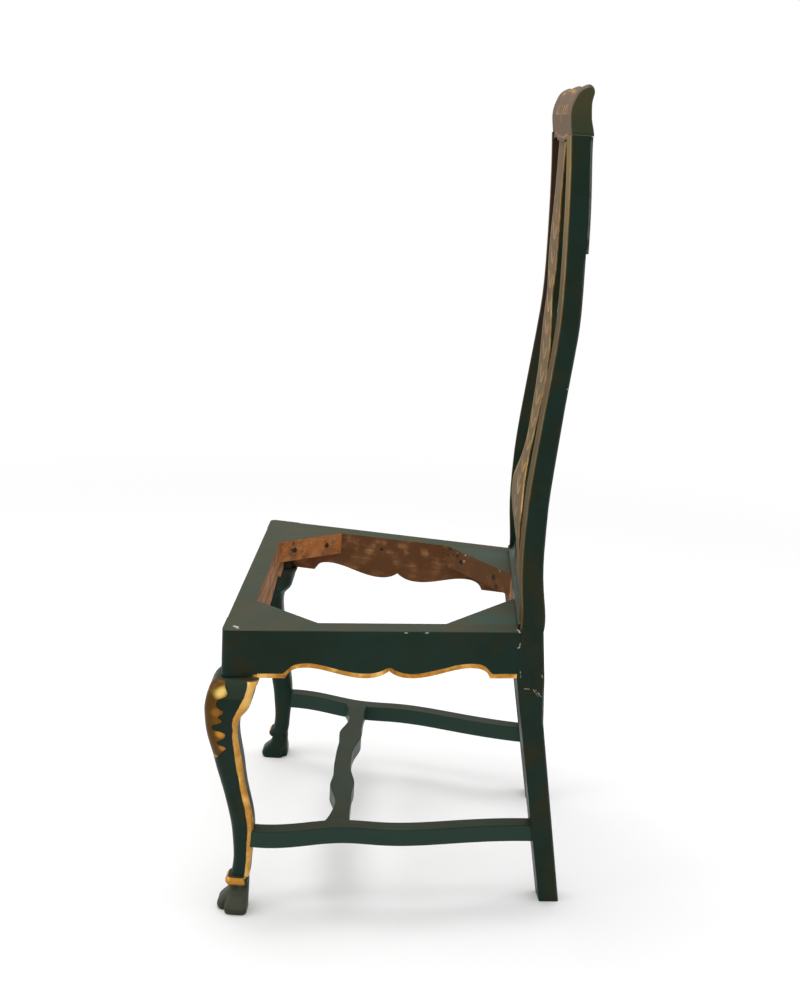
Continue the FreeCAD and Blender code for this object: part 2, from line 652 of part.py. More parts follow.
def splat_front_y(profile_share):
    return SEAT_DEPTH + SPLAT_SETBACK + swing(profile_share, SPLAT_BELLY_REACH, SPLAT_SWEEP)


def splat_whole():
    right = [vec(SPLAT_HALF_WIDTH * w, 0, splat_bottom + splat_height * s) for s, w in SPLAT_OUTLINE_SHARES]
    left = [vec(-p.x, 0, p.z) for p in right]
    edges = [spline(right), Part.makeLine(right[-1], left[-1]), spline(list(reversed(left))),
             Part.makeLine(left[0], right[0])]
    vase = extrude(edges, Y_AXIS * (2 * SEAT_DEPTH))
    x = -SPLAT_HALF_WIDTH - OVERRUN
    front = [vec(x, splat_front_y(p), splat_bottom + splat_height * s) for s, p in SPLAT_PROFILE_SHARES]
    rear = [p + Y_AXIS * SPLAT_THICKNESS for p in front]
    edges = [spline(front), Part.makeLine(front[-1], rear[-1]), spline(list(reversed(rear))),
             Part.makeLine(rear[0], front[0])]
    board = extrude(edges, X_AXIS * (2 * (SPLAT_HALF_WIDTH + OVERRUN)))
    return solid_of(vase.common(board))


def splat_tenon(top, loose):
    """Tenon at the top or the foot of the splat."""
    gap = TENON_CLEARANCE if loose else 0
    end_gap = MORTISE_END_GAP if loose else 0
    index = -1 if top else 0
    half = SPLAT_HALF_WIDTH * SPLAT_OUTLINE_SHARES[index][1] - SPLAT_TENON_INSET + gap
    y = splat_front_y(SPLAT_PROFILE_SHARES[index][1])
    z = crest_under if top else splat_bottom
    way = 1 if top else -1
    return box((-half, half), (y - gap, y + SPLAT_THICKNESS + gap), (z, z + way * (SPLAT_TENON + end_gap)))


# Middle of the shoe's cove: share of its depth and share of its height
SHOE_COVE_SHARES = (0.75, 0.4)


def splat_shoe_whole(posts):
    """Moulded shoe on the rear rail that holds the foot of the splat."""
    x = -rear_rail_end - OVERRUN
    y = rear_rail_front
    z = SEAT_HEIGHT
    cove = SHOE_DEPTH - SHOE_TOP_DEPTH
    back_share, rise_share = SHOE_COVE_SHARES
    lip = vec(x, y, z + SHOE_LIP)
    neck = vec(x, y + cove, z + SHOE_HEIGHT)
    bend = vec(x, y + cove * back_share, z + SHOE_LIP + (SHOE_HEIGHT - SHOE_LIP) * rise_share)
    edges = polyline([neck, vec(x, y + SHOE_DEPTH, z + SHOE_HEIGHT), vec(x, y + SHOE_DEPTH, z), vec(x, y, z), lip])
    edges.append(Part.Arc(lip, bend, neck).toShape())
    body = extrude(edges, X_AXIS * (2 * (rear_rail_end + OVERRUN)))
    for post in posts:
        body = body.cut(post)
    return max(body.Solids, key=lambda s: s.Volume)


# Seat rails

def front_rail_whole():
    run = 2 * front_rail_end
    body = scalloped_rail(run, RAIL_THICKNESS)
    body.rotate(ORIGIN, Z_AXIS, -90)
    body.translate(vec(-front_rail_end, 0))
    tenon = box(*FRONT_TENON)
    return solid_of(body.fuse([tenon, mirrored(tenon)]))


def side_rail_whole(post):
    """The right side rail with its tenons. Its rear end is cut to the post's front face."""
    body = scalloped_rail(side_length - LEG_BLOCK, RAIL_THICKNESS)
    body.translate(vec(0, LEG_BLOCK))
    body = on_side(body).cut(post)
    tenons = [on_side(box(*SIDE_FRONT_TENON)), on_side(box(*SIDE_REAR_TENON))]
    return solid_of(body.fuse(tenons))


def rear_rail_whole(posts):
    reach = rear_rail_end + OVERRUN
    body = box((-reach, reach), (rear_rail_front, rear_rail_front + REAR_RAIL_THICKNESS), (rail_bottom, SEAT_HEIGHT))
    for post in posts:
        body = body.cut(post)
    body = max(body.Solids, key=lambda s: s.Volume)
    tenon = box(*REAR_TENON)
    return solid_of(body.fuse([tenon, mirrored(tenon)]))


# Corner blocks

def prism_from_top(points, height):
    base = [vec(p.x, p.y, SEAT_HEIGHT - height) for p in points]
    return extrude(polyline(base + base[:1]), Z_AXIS * height)


def front_block_points():
    depth = (LEG_BLOCK - (vec(front_rail_end, 0) - front_corner).dot(side_run)) / side_run.y
    return [
        vec(front_rail_end - FRONT_BLOCK_ON_FRONT_RAIL, RAIL_THICKNESS),
        vec(front_rail_end, RAIL_THICKNESS),
        vec(front_rail_end, depth),
        side_point(RAIL_THICKNESS, LEG_BLOCK),
        side_point(RAIL_THICKNESS, LEG_BLOCK + FRONT_BLOCK_ON_SIDE_RAIL),
    ]


def rear_block_points():
    return [
        side_point(RAIL_THICKNESS, side_length - REAR_BLOCK_ON_SIDE_RAIL),
        side_point(RAIL_THICKNESS, side_length),
        vec(rear_rail_end, rear_rail_front),
        vec(rear_rail_end - REAR_BLOCK_ON_REAR_RAIL, rear_rail_front),
    ]


def block_screws(first, last, toward, walls):
    """Places of the two screws through a block's open face, which runs from first to last.

    toward is the face's way into the corner. Each wall is a point and the inward way of the rail
    that the screw nearest to it bites into.
    """
    screws = []
    for share, (wall_point, wall_way) in zip((SCREW_END_SHARE, 1 - SCREW_END_SHARE), walls):
        start = first + (last - first) * share
        distance = (wall_point - start).dot(wall_way) / toward.dot(wall_way)
        place = vec(start.x, start.y, SEAT_HEIGHT - BLOCK_HEIGHT / 2)
        screws.append((place, toward, distance + SCREW_BITE))
    return screws


def screw(place, way, length, loose):
    gap = SCREW_CLEARANCE if loose else 0
    head_start = place + way * (SCREW_SINK if not loose else -OVERRUN)
    shank = Part.makeCylinder(SCREW_RADIUS + gap, length - SCREW_SINK + gap, place + way * SCREW_SINK, way)
    sink = Part.makeCylinder(SCREW_HEAD_RADIUS + gap, OVERRUN + SCREW_SINK, head_start, way)
    cone_top = SCREW_HEAD_RADIUS + gap
    head = Part.makeCone(cone_top, SCREW_RADIUS + gap, SCREW_HEAD_HEIGHT, place + way * SCREW_SINK, way)
    return shank.fuse([head, sink]) if loose else solid_of(shank.fuse(head))


def corner_screws():
    """The screws of the right side's two blocks."""
    front_points = front_block_points()
    first, last = front_points[0], front_points[-1]
    open_way = (last - first).normalize()
    into_front = vec(open_way.y, -open_way.x)
    front_walls = [(vec(0, RAIL_THICKNESS), vec(0, -1)), (side_point(RAIL_THICKNESS, 0), side_inward * -1)]
    placed = block_screws(first, last, into_front, front_walls)
    rear_points = rear_block_points()
    first, last = rear_points[0], rear_points[-1]
    open_way = (last - first).normalize()
    into_rear = vec(open_way.y, -open_way.x)
    rear_walls = [(side_point(RAIL_THICKNESS, 0), side_inward * -1), (vec(0, rear_rail_front), vec(0, 1))]
    return placed + block_screws(first, last, into_rear, rear_walls)


def build_nodes():
    nodes = {}

    leg = front_leg_whole()
    post = post_whole()
    right_post = on_post(post)
    posts = [right_post, mirrored(right_post)]

    # Stretchers are scribed to the legs and posts, then tenoned into them.
    side_body = side_stretcher_whole(leg, right_post)
    cross_body = cross_stretcher_whole([side_body, mirrored(side_body)])
    front_way = stretcher_way
    rear_way = stretcher_way * -1
    side_stretcher = solid_of(side_body.fuse([
        stretcher_tenon(stretcher_start, front_way, False), stretcher_tenon(stretcher_end, rear_way, False),
    ]))
    cross_right = cross_tenon(False)
    cross = solid_of(cross_body.fuse([cross_right, mirrored(cross_right)]))
    side_stretcher = solid_of(side_stretcher.cut(cross_tenon(True)))

    # Rails, with tenons into the legs and posts
    side_rail = side_rail_whole(right_post)
    front_rail = front_rail_whole()
    rear_rail = rear_rail_whole(posts)

    leg = leg.cut(grown(*FRONT_TENON, ends="+x"))
    leg = leg.cut(on_side(grown(*SIDE_FRONT_TENON, ends="-y")))
    leg = solid_of(leg.cut(stretcher_tenon(stretcher_start, front_way, True)))

    post = on_post(post.fuse(box(*POST_TENON)))
    post = post.cut(on_side(grown(*SIDE_REAR_TENON, ends="+y")))
    post = post.cut(grown(*REAR_TENON, ends="+x"))
    post = solid_of(post.cut(stretcher_tenon(stretcher_end, rear_way, True)))

    # The back
    splat = splat_whole().fuse([splat_tenon(True, False), splat_tenon(False, False)])
    crest = crest_whole(posts).cut(splat_tenon(True, True))
    post_mortise = on_post(grown(*POST_TENON, ends="+z"))
    crest = crest.cut([post_mortise, mirrored(post_mortise)])
    shoe = splat_shoe_whole(posts).cut(splat_tenon(False, True))

    # Corner blocks and the screws that hold them
    front_block = prism_from_top(front_block_points(), BLOCK_HEIGHT)
    rear_block = prism_from_top(rear_block_points(), BLOCK_HEIGHT)
    screws = []
    for place, way, length in corner_screws():
        hole = screw(place, way, length, True)
        front_block = front_block.cut(hole)
        rear_block = rear_block.cut(hole)
        side_rail = side_rail.cut(hole)
        for hand in (hole, mirrored(hole)):
            front_rail = front_rail.cut(hand)
            rear_rail = rear_rail.cut(hand)
        body = screw(place, way, length, False)
        screws += [body, mirrored(body)]

    pairs = {
        "front_leg": leg, "rear_post": post, "side_seat_rail": solid_of(side_rail),
        "side_stretcher": side_stretcher,
        "front_corner_block": solid_of(front_block), "rear_corner_block": solid_of(rear_block),
    }
    for name, shape in pairs.items():
        nodes[f"{name}_right"] = shape
        nodes[f"{name}_left"] = mirrored(shape)
    nodes["front_seat_rail"] = solid_of(front_rail)
    nodes["rear_seat_rail"] = solid_of(rear_rail)
    nodes["cross_stretcher"] = cross
    nodes["crest_rail"] = solid_of(crest)
    nodes["back_splat"] = solid_of(splat)
    nodes["splat_shoe"] = solid_of(shoe)
    nodes["corner_block_screws"] = Part.Compound(screws)
    return nodes


def main():
    nodes = build_nodes()
    bounds = Part.Compound(list(nodes.values())).optimalBoundingBox(False, False)
    middle_y = (bounds.YMin + bounds.YMax) / 2
    os.makedirs("parts", exist_ok=True)
    for name, shape in sorted(nodes.items()):
        placed = shape.copy()
        placed.translate(vec(0, -middle_y, 0))
        placed.exportStep(f"parts/{name}.step")
        print(f"{name}: {len(placed.Solids)} solid, valid {placed.isValid()}, {placed.Volume / 1000:.1f} cm3")
    print(f"size {bounds.XLength:.1f} x {bounds.YLength:.1f} x {bounds.ZLength:.1f} mm, "
          f"seat front at y {-middle_y:.2f}")


main()
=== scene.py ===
# %% [markdown]
# # A painted side chair, dressed for its portrait
#
# The chair's wood is already cut: every leg, rail and post comes in as a solid at its real size. What is
# left is what a decorator did to it, and what long use did after that. This file lays on the green ground,
# the gilt lines, the stencilled back, the raw wood of the seat frame and the wear, one finish at a time. It
# adds two thin mending strips, and then sets up the camera and the light.

# %% Load the chair
import math

import bmesh
import bpy
import numpy as np
from mathutils import Matrix, Vector


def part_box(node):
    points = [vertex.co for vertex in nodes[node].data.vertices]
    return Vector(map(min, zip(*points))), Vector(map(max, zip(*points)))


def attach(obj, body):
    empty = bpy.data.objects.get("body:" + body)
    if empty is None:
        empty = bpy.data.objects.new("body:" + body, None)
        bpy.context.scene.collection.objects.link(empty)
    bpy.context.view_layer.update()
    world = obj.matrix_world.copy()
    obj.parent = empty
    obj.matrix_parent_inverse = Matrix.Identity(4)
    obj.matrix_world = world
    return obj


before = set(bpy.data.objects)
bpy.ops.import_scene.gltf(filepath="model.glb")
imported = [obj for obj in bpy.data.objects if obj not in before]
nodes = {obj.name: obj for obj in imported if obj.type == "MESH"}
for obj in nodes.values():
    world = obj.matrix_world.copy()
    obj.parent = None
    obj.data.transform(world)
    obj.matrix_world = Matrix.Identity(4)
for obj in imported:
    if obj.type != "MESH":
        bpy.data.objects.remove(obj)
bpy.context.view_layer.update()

# %% [markdown]
# ## Sizes read from the chair
#
# Paint follows wood, so most lines are worked out from the pieces themselves. The origin is on the floor
# under the middle of the chair, X runs across it and Y runs to the back. The side rails run inwards towards
# the back and the posts are turned a little, so each has a direction of its own.

# %% Sizes of the seat frame and the back
MM = 0.001
rail_low, rail_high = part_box("front_seat_rail")
SEAT_TOP = rail_high.z
RAIL_FOOT = rail_low.z
FRONT_FACE = rail_low.y
REAR_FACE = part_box("rear_seat_rail")[1].y
CREST_FOOT, CREST_TOP = (corner.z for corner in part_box("crest_rail"))
SPLAT_FOOT, SPLAT_TOP = (corner.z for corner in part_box("back_splat"))
# Half widths and depth between the corners that the seat was laid out from, and how far a post is turned.
SEAT_HALF_FRONT = 0.2575
SEAT_HALF_REAR = 0.1895
SEAT_DEPTH = 0.405
RAIL_SPLAY = math.atan2(SEAT_HALF_FRONT - SEAT_HALF_REAR, SEAT_DEPTH)
POST_TURN = math.radians(7)
# Heights of the collar that divides each front leg from its hoof.
COLLAR_FOOT, COLLAR_TOP = (0.040, 0.052)
print("seat top", round(SEAT_TOP, 4), "rail foot", round(RAIL_FOOT, 4), "crest", round(CREST_FOOT, 3),
      round(CREST_TOP, 3), "splat", round(SPLAT_FOOT, 3), round(SPLAT_TOP, 3))

# %% [markdown]
# ## Shader maths that reads like arithmetic
#
# A finish is a formula over the surface: this much green, gold where a line runs, brown where the paint has
# gone. Wiring such a formula by hand takes dozens of Math nodes. The small class below wraps one output
# socket, and each operator on it adds the node that does the sum, so the formulas further down can be read
# as formulas.

# %% Value, one socket with operators
class Value:
    """A number or colour somewhere in a shader. Operators on it add Math nodes."""

    def __init__(self, tree, socket):
        self.tree = tree
        self.socket = socket

    def math(self, operation, *others):
        values = dict(enumerate((self, *others)))
        return add(self.tree, "Math", {"operation": operation}, values)

    def __add__(self, other):
        return self.math("ADD", other)

    def __sub__(self, other):
        return self.math("SUBTRACT", other)

    def __rsub__(self, other):
        return (self * -1).math("ADD", other)

    def __mul__(self, other):
        return self.math("MULTIPLY", other)

    def __neg__(self):
        return self.math("MULTIPLY", -1)

    def __abs__(self):
        return self.math("ABSOLUTE")

    def __or__(self, other):
        return self.math("MAXIMUM", other)

    def __and__(self, other):
        return self.math("MINIMUM", other)


def add(tree, kind, settings=None, values=None, output=0):
    """Any shader node: its settings first, then the values or links of its sockets."""
    node = tree.nodes.new("ShaderNode" + kind)
    for name, setting in (settings or {}).items():
        if name == "points":
            set_points(node, setting)
        else:
            setattr(node, name, setting)
    for name, value in (values or {}).items():
        if isinstance(value, Value):
            tree.links.new(value.socket, node.inputs[name])
        else:
            node.inputs[name].default_value = value
    return Value(tree, node.outputs[output])


def set_points(node, points):
    """Points of a float curve, both ways from 0 to 1."""
    curve = node.mapping.curves[0]
    while len(curve.points) < len(points):
        curve.points.new(0.5, 0.5)
    for point, place in zip(curve.points, points):
        point.location = place
        point.handle_type = "VECTOR"
    node.mapping.update()


# %% [markdown]
# ## Masks
#
# A mask is a Value from 0 to 1 that says where something is. Hand painting is never ruler-straight, so the
# edges of masks are softened over a fraction of a millimetre and pushed about by a little noise.

# %% Helpers for masks and colours
def noise(point, size, detail=3.0, roughness=0.55, distortion=0.0):
    """Soft noise about 0.5 whose blotches are about `size` metres wide."""
    values = {"Vector": point, "Scale": 1.0 / size, "Detail": detail, "Roughness": roughness,
              "Distortion": distortion}
    return add(point.tree, "TexNoise", {"noise_dimensions": "3D"}, values)


def above(value, edge, softness=0.4 * MM):
    """1 where value is above the edge, 0 below it."""
    values = {"Value": value, "From Min": edge - softness, "From Max": edge + softness}
    return add(value.tree, "MapRange", {"interpolation_type": "SMOOTHSTEP"}, values)


def below(value, edge, softness=0.4 * MM):
    return above(-value, -edge, softness)


def between(value, first, last, softness=0.4 * MM):
    return above(value, first, softness) * below(value, last, softness)


def paint(colour):
    return colour if isinstance(colour, Value) else (*colour, 1.0)


def mix(mask, first, second):
    """The first colour where the mask is 0, the second where it is 1."""
    values = {0: mask, 6: paint(first), 7: paint(second)}
    return add(mask.tree, "Mix", {"data_type": "RGBA"}, values, output=2)


def mix_number(mask, first, second):
    return add(mask.tree, "Mix", {"data_type": "FLOAT"}, {0: mask, 2: first, 3: second})


def parts(vector):
    """The X, Y and Z of a vector, each as a Value."""
    first = add(vector.tree, "SeparateXYZ", values={0: vector})
    return [Value(vector.tree, socket) for socket in first.socket.node.outputs]


def joined(*numbers):
    """A vector from three Values."""
    return add(numbers[0].tree, "CombineXYZ", values=dict(enumerate(numbers)))


def shifted(point, offset):
    """The same point moved, so that two noises of one size don't fall in step."""
    return add(point.tree, "VectorMath", {"operation": "ADD"}, {0: point, 1: offset})


def near_stroke(point, start, end):
    """Distance in metres from a short straight stroke on the chair."""
    length = (end - start).length
    way = tuple((end - start) / length)
    from_start = add(point.tree, "VectorMath", {"operation": "SUBTRACT"}, {0: point, 1: tuple(start)})
    along = add(point.tree, "VectorMath", {"operation": "DOT_PRODUCT"}, {0: from_start, 1: way}, output=1)
    nearest = add(point.tree, "VectorMath", {"operation": "SCALE"}, {0: way, 3: (along | 0.0) & length})
    return add(point.tree, "VectorMath", {"operation": "DISTANCE"}, {0: from_start, 1: nearest}, output=1)


# %% [markdown]
# ## A finish, coat after coat
#
# A decorator starts with a ground and lays each next coat over part of it. A Finish does the same: it holds
# the colour, roughness, metal and height so far, and each call of lay() covers them where a mask is 1. The
# heights add up in metres and end in one Bump node.

# %% Finish, one material in the making
def in_turned_frame(across, along, angle):
    """Distances outwards and backwards in a frame turned by an angle, for Values and for arrays."""
    outward = across * math.cos(angle) + along * math.sin(angle)
    return outward, along * math.cos(angle) - across * math.sin(angle)


class Finish:
    """One material, with the place and the direction of the surface point to hand."""

    def __init__(self, name, colour, rough, metal=0.0):
        self.material = bpy.data.materials.new(name)
        self.material.use_nodes = True
        self.tree = self.material.node_tree
        self.point = add(self.tree, "TexCoord", output=3)
        self.x, self.y, self.z = parts(self.point)
        self.side = abs(self.x)
        normal_x, self.facing_back, self.facing_up = parts(add(self.tree, "TexCoord", output=1))
        self.facing_out = normal_x * self.x.math("SIGN")
        self.colour = colour
        self.rough = rough
        self.metal = metal
        self.rise = 0.0

    def lay(self, mask, colour=None, rough=None, metal=None, rise=None):
        if colour is not None:
            self.colour = mix(mask, self.colour, colour)
        if rough is not None:
            self.rough = mix_number(mask, self.rough, rough)
        if metal is not None:
            self.metal = mix_number(mask, self.metal, metal)
        if rise is not None:
            self.rise = mask * rise + self.rise

    def turned(self, angle, half_width, depth):
        """Distances outwards and backwards from an upright corner, in a frame turned by an angle."""
        return in_turned_frame(self.side - half_width, self.y - depth, angle)

    def done(self, specular):
        shader = self.tree.nodes["Principled BSDF"]
        shader.inputs["Specular IOR Level"].default_value = specular
        sockets = {"Base Color": self.colour, "Roughness": self.rough, "Metallic": self.metal}
        if isinstance(self.rise, Value):
            bump = {"Height": self.rise, "Distance": 1.0, "Strength": 1.0}
            sockets["Normal"] = add(self.tree, "Bump", values=bump)
        for name, value in sockets.items():
            if isinstance(value, Value):
                self.tree.links.new(value.socket, shader.inputs[name])
            else:
                shader.inputs[name].default_value = paint(value) if name == "Base Color" else value
        print("finish", self.material.name, "has", len(self.tree.nodes), "nodes")
        return self.material


def dress(material, *names):
    for name in names:
        for slot in nodes[name].material_slots:
            slot.material = material


def pair(name):
    return name + "_right", name + "_left"


# %% [markdown]
# ## Outlines for the paint to follow
#
# The gilt lines run along curved edges. The quickest way to know where an edge is at some height is to
# slice the piece there, as with a saw, and to read the slice. The readings become the points of a Float
# Curve node, and the shader gets the same outline as the wood.

# %% Slicing a piece and following what the slices show
X, Y, Z = range(3)


def edge_ends(node, angle=0.0, half_width=0.0, depth=0.0):
    """Both ends of every mesh edge of a piece, as X, Y, Z or as outward, backward, Z in a turned frame."""
    mesh = nodes[node].data
    points = np.empty(len(mesh.vertices) * 3)
    mesh.vertices.foreach_get("co", points)
    points = points.reshape(-1, 3)
    outward, backward = in_turned_frame(points[:, X] - half_width, points[:, Y] - depth, angle)
    pairs = np.empty(len(mesh.edges) * 2, dtype=np.int32)
    mesh.edges.foreach_get("vertices", pairs)
    return np.stack((outward, backward, points[:, Z]), axis=1)[pairs.reshape(-1, 2)]


def sliced(ends, axis, places, extreme, measured):
    """The least or the greatest X, Y or Z of the slice at each place, for the places where there is one."""
    found = []
    for place in places:
        first, second = ends[:, 0], ends[:, 1]
        cut = (first[:, axis] - place) * (second[:, axis] - place) < 0
        first, second = first[cut], second[cut]
        if len(first) == 0:
            continue
        share = (place - first[:, axis]) / (second[:, axis] - first[:, axis])
        outline = first + share[:, None] * (second - first)
        found.append((place, float(extreme(outline[:, measured]))))
    return found


def follow(value, found):
    """A Value that takes the measure found at each place along another Value."""
    first, last = found[0][0], found[-1][0]
    least = min(measure for place, measure in found)
    most = max(measure for place, measure in found) + 1e-6
    points = [((place - first) / (last - first), (measure - least) / (most - least))
              for place, measure in found]
    share = (value - first) * (1 / (last - first))
    curve = add(value.tree, "FloatCurve", {"points": points}, {0: 1.0, 1: share})
    return curve * (most - least) + least


# %% [markdown]
# ## Green japan
#
# Japanning is paint that imitates lacquer: many thin coats of green-black varnish paint over a pale gesso.
# With age it mottles, and it chips to the gesso along the edges. Its tops are painted a lighter grey-green,
# partly for the dust and rubbing there and partly as painted light from above. Light reflected at a low angle
# is a large part of its look, so its own colours are darker than the eye thinks.

# %% Colours and coats of the japan
GREEN_DEEP = (0.008, 0.019, 0.010)
GREEN_BLUE = (0.007, 0.024, 0.016)
GREEN_BROWN = (0.019, 0.022, 0.009)
GREEN_WORN_AND_TOP_LIT = (0.036, 0.044, 0.026)
OLIVE_WORN_AND_TOP_LIT = (0.046, 0.045, 0.024)
STREAK_DARK = (0.026, 0.029, 0.019)
SEA_GREEN = (0.020, 0.056, 0.042)
GESSO = (0.42, 0.43, 0.37)
UNDERPAINT = (0.060, 0.036, 0.018)
JAPAN_ROUGH = 0.42
JAPAN_GLOSS = 0.11


def arris(finish, radius):
    """How near the point is to a sharp edge: 0 on a flat, about 0.3 on a square edge."""
    rounded = add(finish.tree, "Bevel", {"samples": 6}, {"Radius": radius})
    flat = add(finish.tree, "NewGeometry", output=1)
    dot = add(finish.tree, "VectorMath", {"operation": "DOT_PRODUCT"}, {0: rounded, 1: flat}, output=1)
    return 1 - dot


def japan(name, brown=0.5):
    """A new finish with the whole ground of green japan and its mottling."""
    finish = Finish(name, GREEN_DEEP, JAPAN_ROUGH)
    mottle = noise(finish.point, 45 * MM, 4.0)
    finish.lay(above(mottle, 0.5, 0.14), GREEN_BLUE, JAPAN_ROUGH - 0.06)
    stain = noise(shifted(finish.point, (3.1, 0.4, 1.7)), 70 * MM, 5.0, 0.6)
    finish.lay(above(stain, 0.66 - 0.2 * brown, 0.08), GREEN_BROWN, JAPAN_ROUGH + 0.08)
    grit = noise(finish.point, 2.5 * MM, 2.0)
    finish.rise = (grit - 0.5) * (0.05 * MM)
    return finish


def level_top(finish):
    """1 on faces that look up."""
    return above(finish.facing_up, 0.72, 0.2)


def wobble(finish, size, reach):
    """How far a hand-drawn edge strays, in metres, in waves of about `size`."""
    return (noise(finish.point, size, 2.0) - 0.5) * reach


def lit_and_worn_top(finish, share=1.0):
    """Tops painted a lighter grey-green, for rubbing and as painted light, with darker streaks from front to
    back.
    """
    streaks = noise(joined(finish.x, finish.y * 0.25, finish.z), 16 * MM, 5.0, 0.65)
    blotch = noise(shifted(finish.point, (0.7, 2.2, 5.1)), 60 * MM, 3.0)
    # The tops are painted lighter: partly rubbing and dust, partly painted light from above.
    top = level_top(finish) * share
    worn_and_lit_tone = mix(above(blotch, 0.52, 0.10), GREEN_WORN_AND_TOP_LIT, OLIVE_WORN_AND_TOP_LIT)
    finish.lay(top * mix_number(above(streaks, 0.45, 0.25), 0.75, 1.0), worn_and_lit_tone, 0.6)
    finish.lay(top * above(streaks, 0.64, 0.06) * 0.6, STREAK_DARK, 0.6)


def age(finish, top_share=1.0, chips=0.5, spared=0.0):
    """Tops lightened for wear and as painted light, worn arrises and chips. No arris wears where spared is 1.
    """
    lit_and_worn_top(finish, top_share)
    edge = arris(finish, 2.2 * MM) * (1 - spared)
    rub = noise(shifted(finish.point, (5.5, 1.9, 0.3)), 22 * MM, 4.0, 0.7)
    finish.lay(above(edge, 0.045, 0.035) * above(rub, 0.50, 0.10) * 0.7, GREEN_WORN_AND_TOP_LIT, 0.5)
    flaked = above(edge, 0.10, 0.03) * above(rub, 0.72 - 0.1 * chips, 0.015)
    finish.lay(flaked, UNDERPAINT, 0.7, rise=-0.1 * MM)
    bare = above(edge, 0.09, 0.03) * above(rub, 0.76 - 0.1 * chips, 0.012)
    finish.lay(bare, GESSO, 0.8, rise=-0.15 * MM)
    return rub


def chips_at(finish, strokes):
    """Chips down to the gesso. Each has a start and an end in metres and a half width in millimetres."""
    beyond = 1.0
    for start, end, half_width in strokes:
        beyond = (near_stroke(finish.point, Vector(start), Vector(end)) - half_width * MM) & beyond
    ragged = beyond + (noise(finish.point, 2 * MM, 3.0) - 0.5) * (1.8 * MM)
    finish.lay(below(ragged, 0.5 * MM, 0.3 * MM) * 0.7, UNDERPAINT, 0.7)
    finish.lay(below(ragged, 0.0, 0.3 * MM) * 0.85, GESSO, 0.8, rise=-0.15 * MM)


# %% [markdown]
# ## Gilding
#
# The gilt lines and leaves are metal leaf or bronze powder in varnish. Gold colour in a metal comes from
# the reflection alone, so the base colour is deep, and it is uneven: bright where the leaf is whole, brown
# where it has been rubbed, and brown too as a painted dark reflection of the surroundings.

# %% One coat of gilding
GILT = (0.48, 0.215, 0.036)
GILT_BRIGHT = (0.82, 0.52, 0.15)
GILT_DARK_WEAR_AND_REFLECTION = (0.17, 0.075, 0.014)


def gild(finish, mask, rise=0.2 * MM, wear=0.5, bright=0.35):
    """Gilding wherever the mask is 1. More wear shows more brown, rubbed leaf and painted dark reflection
    alike, and bright is the share of fresh leaf.
    """
    sheen = noise(shifted(finish.point, (1.3, 7.7, 2.9)), 22 * MM, 3.0, 0.5)
    speck = noise(shifted(finish.point, (6.1, 3.3, 0.9)), 5 * MM, 3.0, 0.6)
    leaf = mix(above(sheen, 0.70 - 0.3 * bright, 0.14), GILT, GILT_BRIGHT)
    leaf = mix(above(speck * 0.4 + (1 - sheen) * 0.6, 0.66 - 0.12 * wear, 0.09), leaf, GILT_DARK_WEAR_AND_REFLECTION)
    kept = mask * below(speck, 0.84 - 0.14 * wear, 0.03)
    finish.lay(kept, leaf, 0.42, 0.9, rise)


# %% [markdown]
# ## Seat rails
#
# Each rail is painted outside and on top, and left raw inside and underneath. A gilt line about 7 mm high
# follows the scalloped lower edge. All rails get the same coats, and each tells where its own outside, its
# length and its lower edge are.

# %% Raw wood
WOOD = (0.30, 0.135, 0.050)
WOOD_DARK = (0.115, 0.048, 0.018)
WOOD_LIGHT = (0.45, 0.22, 0.10)
HOLE_DARK = (0.012, 0.007, 0.004)


def dots(finish, pitch, radius, softness):
    """Round spots about a pitch apart. Their radius and softness are shares of the pitch."""
    distance = add(finish.tree, "TexVoronoi", {"feature": "F1"}, {"Vector": finish.point, "Scale": 1 / pitch})
    return below(distance, radius, softness)


def raw_wood(finish, mask, grain_point, dark=0.4):
    """Bare wood with long grain, stains and a few dark holes. The grain runs along the point's X."""
    fibres = add(finish.tree, "VectorMath", {"operation": "MULTIPLY"}, {0: grain_point, 1: (0.06, 1, 1)})
    grain = noise(fibres, 2.2 * MM, 4.0, 0.65, 0.4)
    band = noise(fibres, 11 * MM, 3.0, 0.5, 0.8)
    stain = noise(shifted(finish.point, (2.4, 6.6, 1.2)), 30 * MM, 4.0, 0.6)
    bare = mix(above(grain, 0.5, 0.22), WOOD, WOOD_LIGHT)
    bare = mix(above(band, 0.50, 0.12) * 0.7, bare, WOOD_DARK)
    bare = mix(above(stain, 0.66 - 0.35 * dark, 0.14), bare, WOOD_DARK)
    bare = mix(dots(finish, 22 * MM, 0.11, 0.03), bare, HOLE_DARK)
    finish.lay(mask, bare, 0.78, 0.0, rise=(grain - 0.5) * (0.12 * MM))


# %% Rail finishes
def rail_finish(finish, inward, along, edge_found, dark=0.75):
    """The coats of one rail. inward is the depth behind its outer face, along runs down its length."""
    outside = below(inward, 2 * MM, 0.5 * MM)
    top = above(finish.facing_up, 0.6, 0.1)
    hidden = (1 - top) * (1 - outside)
    raw_wood(finish, hidden, joined(along, inward, finish.z), dark)
    # The raw inside is darker towards its lower edge.
    darker_low = below(finish.z, RAIL_FOOT + 22 * MM, 20 * MM) * hidden
    finish.lay(darker_low * (0.8 * dark), WOOD_DARK)
    stray = wobble(finish, 30 * MM, 2.4 * MM)
    height = finish.z - follow(along, edge_found)
    gild(finish, below(height + stray, 6.6 * MM, 0.5 * MM) * outside, wear=0.4)


